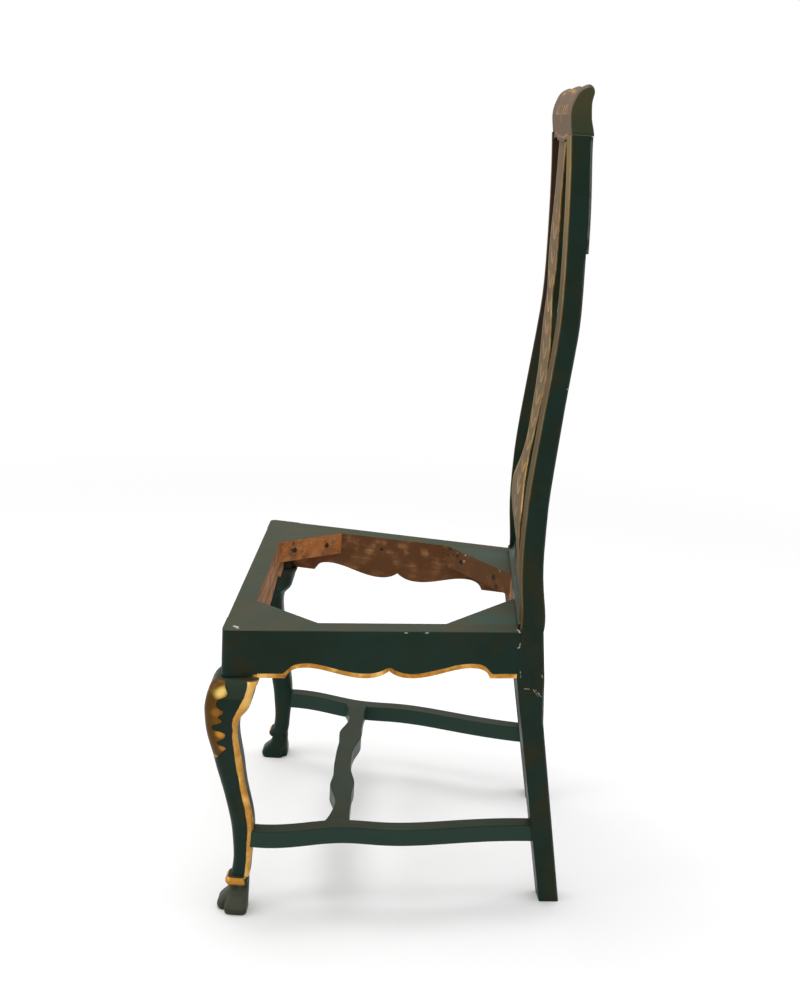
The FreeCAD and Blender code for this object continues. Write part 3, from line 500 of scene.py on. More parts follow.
# The middle of a side rail's outside has kept more of its green.
GREEN_KEPT = (0.013, 0.036, 0.024)
SIDE_RAIL_CHIPS = (((0.1800, 0.1624, 0.430), (0.1885, 0.1652, 0.430), 1.4),
                   ((0.1893, 0.1672, 0.4134), (0.1894, 0.1666, 0.4080), 0.9),
                   ((0.1894, 0.1666, 0.4077), (0.1898, 0.1643, 0.4069), 0.9),
                   ((0.2163, 0.0069, 0.4281), (0.2158, 0.0099, 0.4281), 0.7),
                   ((0.2110, 0.0385, 0.4283), (0.2115, 0.0355, 0.4283), 0.8))


def side_rail():
    finish = japan("side rail japan", brown=0.25)
    outward, along = finish.turned(RAIL_SPLAY, SEAT_HALF_FRONT, FRONT_FACE)
    age(finish, chips=0.6, spared=below(along, 54 * MM) | above(along, 404 * MM))
    kept = between(along, 140 * MM, 330 * MM, 70 * MM) * below(finish.facing_up, 0.6, 0.1)
    finish.lay(kept * 0.4, GREEN_KEPT)
    # Only the left rail has an open crack in its top.
    crack = between(outward + noise(finish.point, 40 * MM) * (4 * MM), -12 * MM, -11 * MM)
    crack = crack * between(along, 60 * MM, 130 * MM, 6 * MM) * below(finish.x, 0.0)
    finish.lay(crack * level_top(finish), UNDERPAINT, 0.8, rise=-0.3 * MM)
    ends = edge_ends("side_seat_rail_right", RAIL_SPLAY, SEAT_HALF_FRONT, FRONT_FACE)
    found = sliced(ends, Y, np.linspace(0.0515, 0.4085, 66), np.min, Z)
    rail_finish(finish, -outward, along, found)
    chips_at(finish, SIDE_RAIL_CHIPS)
    return finish


def front_rail():
    finish = japan("front rail japan")
    age(finish, chips=0.4, spared=above(finish.side, 0.204))
    found = sliced(edge_ends("front_seat_rail"), X, np.linspace(0.001, 0.206, 40), np.min, Z)
    rail_finish(finish, finish.y - FRONT_FACE, finish.side, found, dark=0.15)
    return finish


def rear_rail():
    finish = japan("rear rail japan")
    age(finish, chips=0.3)
    finish.lay(level_top(finish) * above(noise(finish.point, 50 * MM), 0.47, 0.08) * 0.5, SEA_GREEN, 0.55)
    found = sliced(edge_ends("rear_seat_rail"), X, np.linspace(0.001, 0.150, 30), np.min, Z)
    rail_finish(finish, REAR_FACE - finish.y, finish.side, found)
    return finish


dress(side_rail().done(JAPAN_GLOSS), *pair("side_seat_rail"))
dress(front_rail().done(JAPAN_GLOSS), "front_seat_rail")
dress(rear_rail().done(JAPAN_GLOSS), "rear_seat_rail")

# %% [markdown]
# ## Front legs
#
# The knee carries the best gilding of the chair, a leaf that folds round the corner, with hooked lobes down
# its edge. A band runs down the rear edge of the side face, and one down the inner edge of the front face, to
# the gilt collar over the hoof. The leaf is laid out by its distance from the corner, which is the way over
# the front face plus the way over the side. Much of the leg's light and shade is painted: a lighter green on
# the knee's side, shadows, highlights and a dark reflection on the leaf, a highlight on the side band and a
# sheen on the right hoof.

# %% Leg outlines
leg_places = np.linspace(0.056, SEAT_TOP - 1 * MM, 70)
leg_ends = edge_ends("front_leg_right")
leg_front = sliced(leg_ends, Z, leg_places, np.min, Y)
leg_rear = sliced(leg_ends, Z, leg_places, np.max, Y)
leg_outer = sliced(leg_ends, Z, leg_places, np.max, X)
leg_inner = sliced(leg_ends, Z, leg_places, np.min, X)

KNEE_LIT_GREEN = (0.022, 0.035, 0.021)
LEAF_SHADOW = (0.006, 0.007, 0.004)
LEAF_DULL_AND_DARK_REFLECTION = (0.11, 0.047, 0.008)
LEAF_FOLD_SHADE = (0.055, 0.032, 0.008)
BAND_GILT = (0.66, 0.37, 0.09)
BAND_HIGHLIGHT = (0.80, 0.50, 0.15)
HOOF_WEAR_AND_SHEEN_GREY = (0.050, 0.052, 0.033)
HOOF_TOP_LIT_GREY = (0.075, 0.078, 0.058)
LEG_CHIPS = (((0.2390, -0.2235, 0.430), (0.2410, -0.2200, 0.430), 2.6),
             ((0.2445, -0.2195, 0.430), (0.2450, -0.2180, 0.430), 1.4))
# Height above the floor and reach of the leaf from the leg's corner, in millimetres.
LEAF_OUTLINE = ((236, 0), (243, 7), (250, 11), (254, 15), (258, 20), (261.5, 24), (264.5, 22), (267, 15),
                (271.5, 12), (275, 19), (278, 24.5), (282, 27.5), (286, 28), (288.5, 22), (290.5, 12),
                (294, 10), (299, 12.5), (301, 20), (304, 25.5), (307, 24), (310, 20), (313, 22), (317, 27.5),
                (320, 28), (323, 22), (326, 18), (331.5, 16.5), (336, 17.5), (338, 22), (341, 27.5),
                (345, 28.5), (349.5, 24.5), (353, 21), (357, 17), (360, 13))
# Painted highlights and shade on the leaf: height above the floor, distance from the corner, radius, in
# millimetres, and colour.
LEAF_PAINTED_LIGHTS = ((346, 19, 10, (0.86, 0.60, 0.16)),
             (318, 18, 8, (0.26, 0.105, 0.018)),
             (285, 21, 8, (0.50, 0.23, 0.035)),
             (262, 19, 6, (0.36, 0.165, 0.035)),
             (245, 6, 6, (0.30, 0.19, 0.07)))
# Height and width of the two gilt bands, in millimetres.
BAND_WIDTHS = ((50, 7), (80, 6.5), (105, 8.5), (150, 8), (185, 8), (213, 7.4), (229, 8.3), (251, 7.7),
               (267, 7.1), (291, 6), (304, 9), (311, 11.4), (320, 14), (330, 13.5), (341, 10), (350, 11),
               (361, 14.4))


def in_metres(pairs):
    return [(place * MM, measure * MM) for place, measure in pairs]


def leg_finish():
    finish = japan("front leg japan", brown=0.3)
    to_joint = (finish.y - FRONT_FACE) | (SEAT_HALF_FRONT - finish.side)
    age(finish, chips=0.45, spared=above(to_joint, 46 * MM) * above(finish.z, RAIL_FOOT - 1 * MM))
    front, outer = (follow(finish.z, leg_front), follow(finish.z, leg_outer))
    from_corner = (finish.y - front) + (outer - finish.side)
    stray = wobble(finish, 16 * MM, 2 * MM)
    under_rail = below(finish.z, RAIL_FOOT - 1 * MM, 0.8 * MM)
    # Painted highlight: the side of the knee is painted a lighter green, as if lit from above.
    light = between(finish.z, 0.338, RAIL_FOOT - 1 * MM, 3 * MM) * above(finish.facing_out, 0.45, 0.1)
    finish.lay(light, KNEE_LIT_GREEN, 0.5)
    # The leaf: a painted shadow along its edge, old gold dulled to brown and darkened further as a painted
    # dark reflection, painted shade where it folds round the corner, and spots of painted highlight and
    # shade.
    inside_leaf = follow(finish.z, in_metres(LEAF_OUTLINE)) - from_corner + stray * 0.4
    leaf = above(inside_leaf, 0.0) * between(finish.z, 0.236, 0.360)
    shadow = above(inside_leaf, -1.4 * MM, 1.2 * MM) * between(finish.z, 0.240, 0.356)
    finish.lay(shadow * 0.8, LEAF_SHADOW)
    gild(finish, leaf * under_rail, rise=0.5 * MM, wear=0.4, bright=0.0)
    finish.lay(leaf * 0.9, LEAF_DULL_AND_DARK_REFLECTION)
    finish.lay(leaf * below(from_corner, 12 * MM, 8 * MM) * 0.9, LEAF_FOLD_SHADE)
    for height, along, radius, colour in LEAF_PAINTED_LIGHTS:
        up, out = (finish.z - height * MM, from_corner - along * MM)
        away = (up * up + out * out).math("SQRT")
        finish.lay(below(away, radius * 0.7 * MM, radius * 0.45 * MM) * leaf, colour, 0.36, 0.9)
    # The two bands.
    band_width = follow(finish.z, in_metres(BAND_WIDTHS))
    on_leg = above(finish.z, COLLAR_TOP - 1 * MM) * under_rail
    from_rear = follow(finish.z, leg_rear) - finish.y
    from_inner = finish.side - follow(finish.z, leg_inner)
    side_band = below(from_rear + stray - band_width, 0.0, 0.5 * MM) * above(finish.facing_out, 0.25, 0.1)
    front_band = below(from_inner + stray - band_width, 0.0, 0.5 * MM) * below(finish.facing_back, -0.8, 0.1)
    front_band = front_band * above(finish.facing_out, -0.15, 0.06)
    gild(finish, (side_band | front_band) * on_leg, wear=0.25, bright=0.5)
    finish.lay(side_band * on_leg * 0.3, BAND_GILT, 0.42, 0.9)
    # A painted highlight near the top of the side band.
    finish.lay(side_band * between(finish.z, 0.325, 0.357, 8 * MM) * 0.6, BAND_HIGHLIGHT, 0.38, 0.9)
    # The gilt line of the side rail goes on for a few millimetres over the leg's block.
    rail_line = between(finish.z, RAIL_FOOT, RAIL_FOOT + 5 * MM)
    rail_line = rail_line * above(finish.y - FRONT_FACE, 44 * MM, 3 * MM)
    gild(finish, rail_line * above(finish.facing_out, 0.5, 0.1), wear=0.4)
    # The collar is gilt on its outer sides only.
    collar = between(finish.z, COLLAR_FOOT, COLLAR_TOP, 0.5 * MM)
    outer_side = above(finish.facing_out - finish.facing_back, 0.3, 0.3) * above(finish.facing_out, -0.3, 0.1)
    gild(finish, collar * outer_side, rise=0.1 * MM, wear=0.2, bright=0.2)
    # Only the right hoof is made grey: rubbed paint with a painted sheen, lighter as painted light on top.
    hoof = below(finish.z, COLLAR_FOOT, 0.5 * MM) * above(finish.x, 0.0)
    finish.lay(hoof * above(noise(finish.point, 25 * MM), 0.42, 0.12) * 0.9, HOOF_WEAR_AND_SHEEN_GREY, 0.55)
    finish.lay(hoof * above(finish.facing_up, 0.25, 0.2) * 0.5, HOOF_TOP_LIT_GREY, 0.55)
    chips_at(finish, LEG_CHIPS)
    return finish


dress(leg_finish().done(JAPAN_GLOSS), *pair("front_leg"))

# %% [markdown]
# ## Rear posts
#
# A post is green on its sides and back. Its front face above the seat belongs to the painted back: a faded
# rose ground between a broad gilt line on the outer edge and a fine one on the inner edge, all of it dulled
# to olive by old varnish.

# %% Post outlines and finish
ROSE = (0.180, 0.108, 0.064)
ROSE_GREY = (0.125, 0.098, 0.062)
ROSE_BROWN = (0.060, 0.034, 0.018)
OLIVE_GILT = (0.24, 0.18, 0.060)
OLD_VARNISH = (0.052, 0.040, 0.013)
VARNISH_EDGE = (0.055, 0.040, 0.013)
RED_BROWN = (0.030, 0.010, 0.007)
ARRIS_WEAR_AND_HIGHLIGHT = (0.070, 0.076, 0.066)
LOWER_STRIP_GREY = (0.110, 0.120, 0.110)
POST_CHIPS = (((0.1894, 0.1666, 0.4134), (0.1895, 0.1662, 0.4077), 0.8),
              ((0.1889, 0.1705, 0.3714), (0.1887, 0.1718, 0.3627), 0.3),
              ((0.1852, 0.2015, 0.3664), (0.1851, 0.2025, 0.3633), 0.5),
              ((0.1881, 0.1785, 0.3453), (0.1872, 0.1858, 0.3451), 0.7),
              ((0.1864, 0.1912, 0.3441), (0.1854, 0.1994, 0.3340), 0.6),
              ((0.1861, 0.1943, 0.3442), (0.1851, 0.2021, 0.3359), 0.5),
              ((0.1856, 0.1981, 0.3404), (0.1850, 0.2030, 0.3337), 0.7),
              ((0.1726, 0.2065, 0.8565), (0.1727, 0.2050, 0.8540), 0.6),
              ((0.1733, 0.2018, 0.7720), (0.1734, 0.2000, 0.7715), 0.7))

post_frame = (POST_TURN, SEAT_HALF_REAR, FRONT_FACE + SEAT_DEPTH)
# The crest rests on the posts 10 mm above its own lowest point.
POST_TOP = CREST_FOOT + 10 * MM
post_places = np.linspace(0.002, POST_TOP - 1 * MM, 90)
post_ends = edge_ends("rear_post_right", *post_frame)
post_outer = sliced(post_ends, Z, post_places, np.max, X)
post_inner = sliced(post_ends, Z, post_places, np.min, X)
post_rear = sliced(post_ends, Z, post_places, np.max, Y)
post_front = sliced(post_ends, Z, post_places, np.min, Y)


def rose_ground(finish, mask):
    """The faded ground of the back's front, blotched grey and brown."""
    cloud = noise(shifted(finish.point, (4.2, 0.8, 3.9)), 40 * MM, 4.0, 0.6)
    spot = noise(shifted(finish.point, (0.2, 9.1, 6.4)), 12 * MM, 4.0, 0.7)
    ground = mix(above(cloud, 0.5, 0.14), ROSE, ROSE_GREY)
    ground = mix(above(spot, 0.62, 0.05) * 0.8, ground, ROSE_BROWN)
    finish.lay(mask, ground, 0.75, 0.0)


def post_finish():
    finish = japan("rear post japan", brown=0.6)
    beside_rail = between(finish.z, RAIL_FOOT - 2 * MM, SEAT_TOP) * below(finish.facing_back, 0.5, 0.2)
    rub = age(finish, chips=0.5, spared=beside_rail)
    outward, backward = finish.turned(*post_frame)
    from_outer = follow(finish.z, post_outer) - outward
    from_inner = outward - follow(finish.z, post_inner)
    from_rear = follow(finish.z, post_rear) - backward
    from_front = backward - follow(finish.z, post_front)
    upper = above(finish.z, SEAT_TOP + 4 * MM, 1 * MM)
    # The rear arris is painted light grey: partly rubbed paint, partly a painted highlight of light from
    # behind.
    # A light line lower down stands for a strip that was let in flush.
    rear_arris = below(from_rear, 2.6 * MM, 1.0 * MM) * above(finish.facing_out, 0.5, 0.1)
    rubbed_and_lit = rear_arris * above(rub, 0.42, 0.10) * mix_number(above(finish.z, 0.88, 0.04), 0.5, 1.0)
    finish.lay(rubbed_and_lit * below(finish.z, 0.94, 4 * MM), ARRIS_WEAR_AND_HIGHLIGHT, 0.5)
    finish.lay(rear_arris * between(finish.z, 0.290, 0.345, 2 * MM) * 0.8, LOWER_STRIP_GREY, 0.5)
    inner_face = below(finish.facing_out, -0.5, 0.1) * upper
    finish.lay(inner_face * above(finish.z, 0.80, 0.12) * 0.8, RED_BROWN, 0.4)
    # The painted front with its two gilt lines, then the varnish that dulls them.
    front_face = below(finish.facing_back, -0.6, 0.1) * upper
    rose_ground(finish, front_face)
    stray = wobble(finish, 25 * MM, 1.6 * MM)
    broad = below(from_outer + stray, 7 * MM)
    fine = between(from_inner + stray, 1.5 * MM, 4.5 * MM)
    gild(finish, (broad | fine) * front_face, wear=0.5, bright=0.25)
    low = below(finish.z, 0.90, 0.12)
    finish.lay(front_face * mix_number(low, 0.60, 0.80), OLD_VARNISH, 0.65, 0.1)
    finish.lay(front_face * above(finish.z, 0.96, 0.08) * 0.45, OLIVE_GILT, 0.65, 0.1)
    turned_over = below(from_front, 1.2 * MM, 0.5 * MM) * upper * above(finish.facing_out, 0.5, 0.1)
    finish.lay(turned_over * 0.7, VARNISH_EDGE, 0.5, 0.2)
    chips_at(finish, POST_CHIPS)
    return finish


dress(post_finish().done(JAPAN_GLOSS), *pair("rear_post"))

# %% [markdown]
# Both posts were mended once. A thin strip lies along the upper part of each post's rear face, and its paint
# is newer and greyer. It starts as a cube that is cut across and bent to the post.

# %% Mending strips
STRIP_FOOT, STRIP_TOP = (0.948, POST_TOP - 0.3 * MM)
# A strip stands out behind the post by the first length and sinks into it by the second.
STRIP_PROUD, STRIP_SUNK = (3 * MM, 0.5 * MM)
STRIP_GREY = (0.105, 0.115, 0.105)


def bend_to_post(form, way):
    """Takes the corners of a unit cube to the right post (way is 1) or to the left post (way is -1)."""
    for vert in form.verts:
        height = STRIP_FOOT + (STRIP_TOP - STRIP_FOOT) * (vert.co.z + 0.5)
        rear, inner, outer = (np.interp(height, *zip(*found))
                              for found in (post_rear, post_inner, post_outer))
        outward = outer - 0.2 * MM if vert.co.x > 0 else inner + 3 * MM
        backward = rear + STRIP_PROUD if vert.co.y > 0 else rear - STRIP_SUNK
        across = outward * math.cos(POST_TURN) - backward * math.sin(POST_TURN)
        along = outward * math.sin(POST_TURN) + backward * math.cos(POST_TURN)
        vert.co = (way * (SEAT_HALF_REAR + across), FRONT_FACE + SEAT_DEPTH + along, height)


def mending_strip(name, way, material):
    form = bmesh.new()
    bmesh.ops.create_cube(form, size=1)
    upright = [edge for edge in form.edges if abs(edge.verts[0].co.z - edge.verts[1].co.z) > 0.5]
    bmesh.ops.subdivide_edges(form, edges=upright, cuts=12, use_grid_fill=True)
    bend_to_post(form, way)
    bmesh.ops.recalc_face_normals(form, faces=form.faces)
    arrises = [edge for edge in form.edges if edge.calc_face_angle() > 0.8]
    bmesh.ops.bevel(form, geom=arrises, offset=0.8 * MM, affect="EDGES", segments=2, profile=0.5, material=-1)
    mesh = bpy.data.meshes.new(name)
    form.to_mesh(mesh)
    form.free()
    strip = bpy.data.objects.new(name, mesh)
    bpy.context.scene.collection.objects.link(strip)
    mesh.materials.append(material)
    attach(strip, "root")


strip_finish = japan("mending strip japan", brown=0.1)
strip_finish.lay(above(noise(strip_finish.point, 18 * MM), 0.42, 0.12), STRIP_GREY, 0.5)
age(strip_finish, chips=0.6)
strip_paint = strip_finish.done(JAPAN_GLOSS)
mending_strip("mending_strip_right", 1, strip_paint)
mending_strip("mending_strip_left", -1, strip_paint)

# %% [markdown]
# ## The painted back
#
# The splat and the crest are the show pieces. Their front has the same rose ground as the posts, a gilt line
# inside the outline, flowers, and leaf scrolls that the decorator repeated along a stem. A repeat is drawn
# once, in a cell: the place inside the cell comes from a Modulo node, and a lens shape makes each leaf. Last
# comes a dull coat of old varnish, which hides about half of it all.

# %% Leaves, stems and flowers
LEAF_GREEN = (0.035, 0.050, 0.025)
LEAF_RED = (0.120, 0.030, 0.016)
BACK_GLOSS = 0.06


def leaf_along(u, v, length, width):
    """A leaf from u = 0 to u = length, widest in its middle, with v across it."""
    share = u * (1 / length)
    half = share * (1 - share) * (2 * width)
    return above(half - abs(v), 0.0, 0.35 * MM) * between(u, 0.0, length)


def in_cells(value, pitch, start=0.0):
    """The distance of a value into its own cell of a row of cells."""
    return (value - start + 50 * pitch).math("MODULO", pitch)


def flower(u, v, radius, petals):
    """A flower of rounded petals about u = v = 0, and the distance from its middle."""
    far = (u * u + v * v).math("SQRT")
    angle = v.math("ARCTAN2", u)
    rim = (angle * petals).math("COSINE") * (0.24 * radius) + 0.76 * radius
    return above(rim - far, 0.0, 0.4 * MM), far


def scroll(finish, face, side, height, start, end):
    """A stem at side = 0. In each cell a large gilt leaf rises from it and a small green one droops."""
    run = between(height, start, end, 1 * MM) * face
    pitch = 34 * MM
    cell = in_cells(height, pitch, start)
    stem = below(side, 1.1 * MM, 0.3 * MM) * run
    big_v = (cell - 9 * MM) - side * 0.55
    small_v = (cell - 24 * MM) + side * 0.15
    big = leaf_along(side, big_v, 40 * MM, 13 * MM) * run
    small = leaf_along(side, small_v, 24 * MM, 8 * MM) * run
    finish.lay(small, LEAF_GREEN, 0.45)
    gild(finish, big | stem, wear=0.8, bright=0.15)
    rib = below(abs(big_v), 0.5 * MM, 0.2 * MM) * big * above(side, 6 * MM)
    finish.lay(rib, LEAF_RED, 0.5)


# %% The splat
splat_places = np.linspace(SPLAT_FOOT + 2 * MM, SPLAT_TOP - 2 * MM, 90)
splat_half = sliced(edge_ends("back_splat"), Z, splat_places, np.max, X)
# The shortest way to the outline is the level way times the cosine of the outline's slope.
slopes = np.gradient([half for place, half in splat_half], [place for place, half in splat_half])
splat_lean = [(place, 1 / math.hypot(1, slope)) for (place, half), slope in zip(splat_half, slopes)]

SPLAT_VARNISH = (0.110, 0.082, 0.034)
SPLAT_STAIN = (0.030, 0.017, 0.010)
# Height above the floor and radius of the flowers, in metres and millimetres.
SPLAT_FLOWERS = ((0.600, 17), (0.820, 11), (0.990, 14))


def splat_finish():
    finish = japan("splat japan and gilt")
    front = below(finish.facing_back, -0.5, 0.1)
    rose_ground(finish, front)
    from_edge = (follow(finish.z, splat_half) - finish.side) * follow(finish.z, splat_lean)
    inside = above(from_edge, 12 * MM, 1 * MM)
    scroll(finish, front * inside, finish.side, finish.z, 0.50, 0.98)
    for height, size in SPLAT_FLOWERS:
        radius = size * MM
        petals, far = flower(finish.side, finish.z - height, radius, 6)
        finish.lay(petals * front, LEAF_RED, 0.5)
        gild(finish, between(far, radius * 0.62, radius * 0.72) * front, wear=0.5)
        gild(finish, below(far, radius * 0.3) * front, wear=0.3)
    stray = wobble(finish, 25 * MM, 1.4 * MM)
    line = between(from_edge + stray, 5.5 * MM, 8.5 * MM)
    rim = below(from_edge + stray, 1.6 * MM)
    gild(finish, (line | rim) * front, wear=0.45, bright=0.4)
    finish.lay(front * mix_number(below(finish.z, 0.85, 0.12), 0.40, 0.50), SPLAT_VARNISH, 0.7, 0.1)
    # A gilt line on the edge too, along its front arris, where the rounded normal turns to the front.
    rounded = parts(add(finish.tree, "Bevel", {"samples": 6}, {"Radius": 3 * MM}))[1]
    edge_face = above((1 - abs(finish.facing_back)) * 2, 1.0, 0.2)
    gild(finish, edge_face * below(rounded, -0.16, 0.06), wear=0.6, bright=0.3)
    blotch = above(noise(shifted(finish.point, (8.1, 2.2, 4.4)), 26 * MM, 4.0, 0.6), 0.58, 0.05)
    finish.lay(blotch * between(finish.z, 0.86, 0.96, 20 * MM) * front, SPLAT_STAIN, 0.5, 0.0)
    return finish


dress(splat_finish().done(BACK_GLOSS), "back_splat")

# %% The crest
crest_places = np.linspace(0.002, 0.150, 60)
crest_ends = edge_ends("crest_rail")
crest_over = sliced(crest_ends, X, crest_places, np.max, Z)
crest_under = sliced(crest_ends, X, crest_places, np.min, Z)

CREST_VARNISH = (0.125, 0.083, 0.056)
END_GREEN = (0.052, 0.060, 0.029)
END_OLIVE = (0.072, 0.067, 0.031)
RIM_PALE = (0.16, 0.15, 0.12)


def crest_finish():
    finish = japan("crest japan and gilt")
    age(finish, top_share=0.6, chips=0.4)
    front = below(finish.facing_back, -0.25, 0.1)
    rose_ground(finish, front)
    from_top = follow(finish.side, crest_over) - finish.z
    from_foot = finish.z - follow(finish.side, crest_under)
    middle = (from_foot - from_top) * 0.5
    run = between(finish.side, 24 * MM, 98 * MM, 1 * MM) * front
    cell = in_cells(finish.side, 30 * MM, 24 * MM)
    stem = below(abs(middle), 0.9 * MM, 0.3 * MM) * run
    upper = leaf_along(cell, middle - cell * 0.45, 26 * MM, 8 * MM) * run
    lower = leaf_along(cell, middle + cell * 0.45, 26 * MM, 8 * MM) * run
    finish.lay(lower, LEAF_GREEN, 0.45)
    gild(finish, upper | stem, wear=0.6, bright=0.3)
    petals, far = flower(finish.side, middle, 17 * MM, 6)
    finish.lay(petals * front, LEAF_RED, 0.5)
    gild(finish, (between(far, 10.5 * MM, 12.5 * MM) | below(far, 5 * MM)) * front, wear=0.4)
    stray = wobble(finish, 25 * MM, 1.4 * MM)
    line = between(from_top + stray, 4 * MM, 7.5 * MM) | between(from_foot + stray, 4 * MM, 7 * MM)
    gild(finish, line * front * below(finish.side, 0.112, 6 * MM), wear=0.7, bright=0.15)
    finish.lay(front * 0.66, CREST_VARNISH, 0.75, 0.0)
    end_face = above(finish.facing_out, 0.5, 0.15) * above(finish.z, CREST_FOOT + 12 * MM, 3 * MM)
    finish.lay(end_face * 0.9, mix(above(finish.z, 1.125, 14 * MM), END_GREEN, END_OLIVE), 0.6)
    rim = above(finish.facing_out, 0.5, 0.15) * above(arris(finish, 2.5 * MM), 0.03, 0.02)
    finish.lay(rim * 0.8, mix(above(finish.facing_back, 0.0, 0.15), ROSE_BROWN, RIM_PALE), 0.6)
    return finish


dress(crest_finish().done(BACK_GLOSS), "crest_rail")

# %% [markdown]
# ## Stretchers and shoe
#
# The stretchers and the shoe under the splat are plain green. Their tops are painted a soft grey-green,
# partly where feet have rubbed them and partly as painted light from above, and the corners show the most
# wear.

# %% Stretchers and shoe
STRETCHER_GREEN = (0.025, 0.055, 0.041)
STRETCHER_CHIPS = (((0.2465, -0.1150, 0.1180), (0.2465, -0.1110, 0.1188), 1.2),
                   ((0.2465, -0.1105, 0.1192), (0.2465, -0.1090, 0.1200), 0.7))

stretcher = japan("stretcher japan", brown=0.1)
age(stretcher, top_share=0.55, chips=0.6)
stretcher.lay(below(stretcher.facing_up, 0.5, 0.2) * 0.75, STRETCHER_GREEN)
chips_at(stretcher, STRETCHER_CHIPS)
dress(stretcher.done(JAPAN_GLOSS), *pair("side_stretcher"), "cross_stretcher")

shoe = japan("shoe japan")
age(shoe, top_share=0.5, chips=0.2)
dress(shoe.done(JAPAN_GLOSS), "splat_shoe")

# %% [markdown]
# ## Corner blocks and screws
#
# The blocks that brace the corners are raw softwood, orange with age in front and brown at the back, with
# knots, old holes and splashes of pale glue. Only their tops were painted along with the rails. The screws
# are rusty iron.

# %% Blocks and screws
WOOD_ORANGE = (0.54, 0.18, 0.045)
WOOD_BROWN = (0.085, 0.042, 0.016)
KNOT_BROWN = (0.045, 0.018, 0.008)
GLUE = (0.55, 0.42, 0.26)
IRON = (0.030, 0.021, 0.015)
RUST = (0.070, 0.027, 0.010)
WOOD_GLOSS = 0.12
IRON_GLOSS = 0.5


def block_finish(name, dark, flush_colour):
    finish = Finish(name, WOOD, 0.8)
    top = above(finish.facing_up, 0.7, 0.15)
    raw_wood(finish, 1 - top, joined(finish.x, finish.z, finish.y), dark)
    flush = above(noise(shifted(finish.point, (1.1, 3.3, 2.2)), 24 * MM, 3.0), 0.44, 0.12)
    finish.lay(flush * 0.6, flush_colour)
    finish.lay(dots(finish, 34 * MM, 0.16, 0.05), KNOT_BROWN, 0.8, rise=-0.3 * MM)
    glue = noise(shifted(finish.point, (7.3, 0.4, 5.2)), 9 * MM, 3.0, 0.7)
    finish.lay(above(glue, 0.70, 0.03) * above(finish.z, SEAT_TOP - 45 * MM, 8 * MM), GLUE, 0.5)
    finish.lay(top, GREEN_DEEP, JAPAN_ROUGH)
    # The painted top is lightened like the rails' tops: partly wear, partly painted light from above.
    lit_and_worn_top(finish)
    by_post = above(finish.y, 0.10, 0.03) * above(finish.side, 0.125, 0.03)
    finish.lay(top * by_post * 0.6, SEA_GREEN, 0.55)
    return finish


def screw_finish():
    finish = Finish("rusty screw iron", IRON, 0.62, 0.7)
    rust = above(noise(finish.point, 4 * MM, 4.0, 0.7), 0.5, 0.12)
    finish.lay(rust, RUST, 0.85, 0.1, rise=0.05 * MM)
    return finish


front_block = block_finish("front block wood", 0.2, WOOD_ORANGE)
rear_block = block_finish("rear block wood", 0.95, WOOD_BROWN)
dress(front_block.done(WOOD_GLOSS), *pair("front_corner_block"))
dress(rear_block.done(WOOD_GLOSS), *pair("rear_corner_block"))
dress(screw_finish().done(IRON_GLOSS), "corner_block_screws")

# %% [markdown]
# ## Camera
#
# The portrait is taken from the chair's right side and from above, at 48 mm on a full frame. The place and
# the turn of the camera were worked out from the seat's corners, the feet and the back in the photograph, so
# that the render and the photograph can be laid over each other.

# %% Camera
EYE = Vector((1.927, 0.02475, 1.1102))
YAW, PITCH, ROLL = (math.radians(angle) for angle in (1.2, 16.1, 3.5))
LENS = 48.3


def camera_axes():
    forward = Vector((-math.cos(YAW) * math.cos(PITCH), -math.sin(YAW) * math.cos(PITCH), -math.sin(PITCH)))
    level = Vector((-math.sin(YAW), math.cos(YAW), 0))
    upright = level.cross(forward)
    right = level * math.cos(ROLL) + upright * math.sin(ROLL)
    up = upright * math.cos(ROLL) - level * math.sin(ROLL)
    return right, up, forward


def make_camera():
    right, up, forward = camera_axes()
    data = bpy.data.cameras.new("portrait_camera")
    data.lens = LENS
    camera = bpy.data.objects.new("portrait_camera", data)
    bpy.context.scene.collection.objects.link(camera)
    turn = Matrix((right, up, -forward)).transposed().to_4x4()
    camera.matrix_world = Matrix.Translation(EYE) @ turn
    bpy.context.scene.camera = camera


make_camera()

# %% [markdown]
# ## Floor and light
#
# A furniture portrait is lit softly, from above and from both sides, over white paper. The floor here is
# pale and keeps the chair's shadow. Further out it turns into plain white for the camera and for
# reflections, and so does the world, so that no horizon shows. The world lights the chair at a plain level,
# and large area lamps give the paint its sheen.

# %% Floor, world and lamps
FLOOR_SIZE = 40.0
FLOOR_COLOUR = (0.93, 0.93, 0.93)
# Distances from the origin between which the floor turns white.
PAPER_FADE = (0.9, 2.6)
WORLD_LIGHT = 0.55


def seen_rays(tree):
    """1 for rays that draw the picture: camera, glossy and transmission rays."""
    path = add(tree, "LightPath").socket.node
    camera, glossy, transmission = (Value(tree, path.outputs[name]) for name in
                                    ("Is Camera Ray", "Is Glossy Ray", "Is Transmission Ray"))
    return camera | glossy | transmission


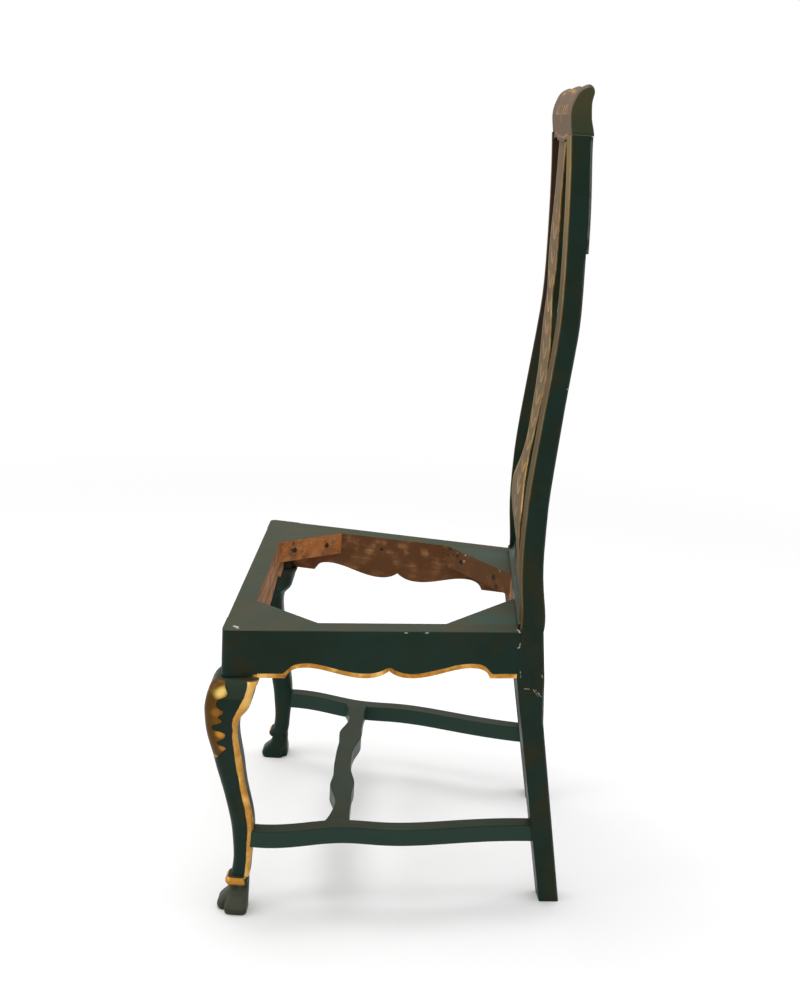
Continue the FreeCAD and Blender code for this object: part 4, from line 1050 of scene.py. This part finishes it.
def paper():
    material = bpy.data.materials.new("studio paper")
    material.use_nodes = True
    tree = material.node_tree
    shader = tree.nodes["Principled BSDF"]
    shader.inputs["Base Color"].default_value = (*FLOOR_COLOUR, 1)
    shader.inputs["Roughness"].default_value = 0.9
    shader.inputs["Specular IOR Level"].default_value = 0.1
    away = add(tree, "VectorMath", {"operation": "LENGTH"}, {0: add(tree, "TexCoord", output=3)}, output=1)
    start, end = PAPER_FADE
    fade = above(away, (start + end) / 2, (end - start) / 2) * seen_rays(tree)
    white = add(tree, "Emission", values={"Color": (1, 1, 1, 1), "Strength": 1.0})
    lit = Value(tree, shader.outputs[0])
    both = add(tree, "MixShader", values={0: fade, 1: lit, 2: white})
    tree.links.new(both.socket, tree.nodes["Material Output"].inputs["Surface"])
    return material


def make_floor():
    mesh = bpy.data.meshes.new("studio_floor")
    form = bmesh.new()
    bmesh.ops.create_grid(form, x_segments=1, y_segments=1, size=FLOOR_SIZE)
    form.to_mesh(mesh)
    form.free()
    floor = bpy.data.objects.new("studio_floor", mesh)
    bpy.context.scene.collection.objects.link(floor)
    mesh.materials.append(paper())


def make_world():
    world = bpy.data.worlds.new("studio")
    bpy.context.scene.world = world
    world.use_nodes = True
    tree = world.node_tree
    tree.nodes.clear()
    strength = mix_number(seen_rays(tree), WORLD_LIGHT, 1.0)
    back = add(tree, "Background", values={"Color": (1, 1, 1, 1), "Strength": strength})
    end = tree.nodes.new("ShaderNodeOutputWorld")
    tree.links.new(back.socket, end.inputs["Surface"])


def area_lamp(name, place, aim, size, power):
    data = bpy.data.lights.new(name, "AREA")
    data.shape = "RECTANGLE"
    data.size, data.size_y = size
    data.energy = power
    lamp = bpy.data.objects.new(name, data)
    bpy.context.scene.collection.objects.link(lamp)
    lamp.location = place
    lamp.rotation_euler = (Vector(aim) - Vector(place)).to_track_quat("-Z", "Y").to_euler()


make_floor()
make_world()
area_lamp("overhead_softbox", (-0.3, -0.3, 3.0), (0, 0, 0.5), (2.6, 2.6), 60)
area_lamp("front_softbox", (0.6, -2.6, 1.8), (0, 0, 0.5), (1.8, 1.8), 22)
area_lamp("rear_softbox", (-0.4, 2.6, 1.8), (0, 0, 0.6), (1.8, 1.8), 18)

bpy.context.scene.view_settings.view_transform = "Standard"
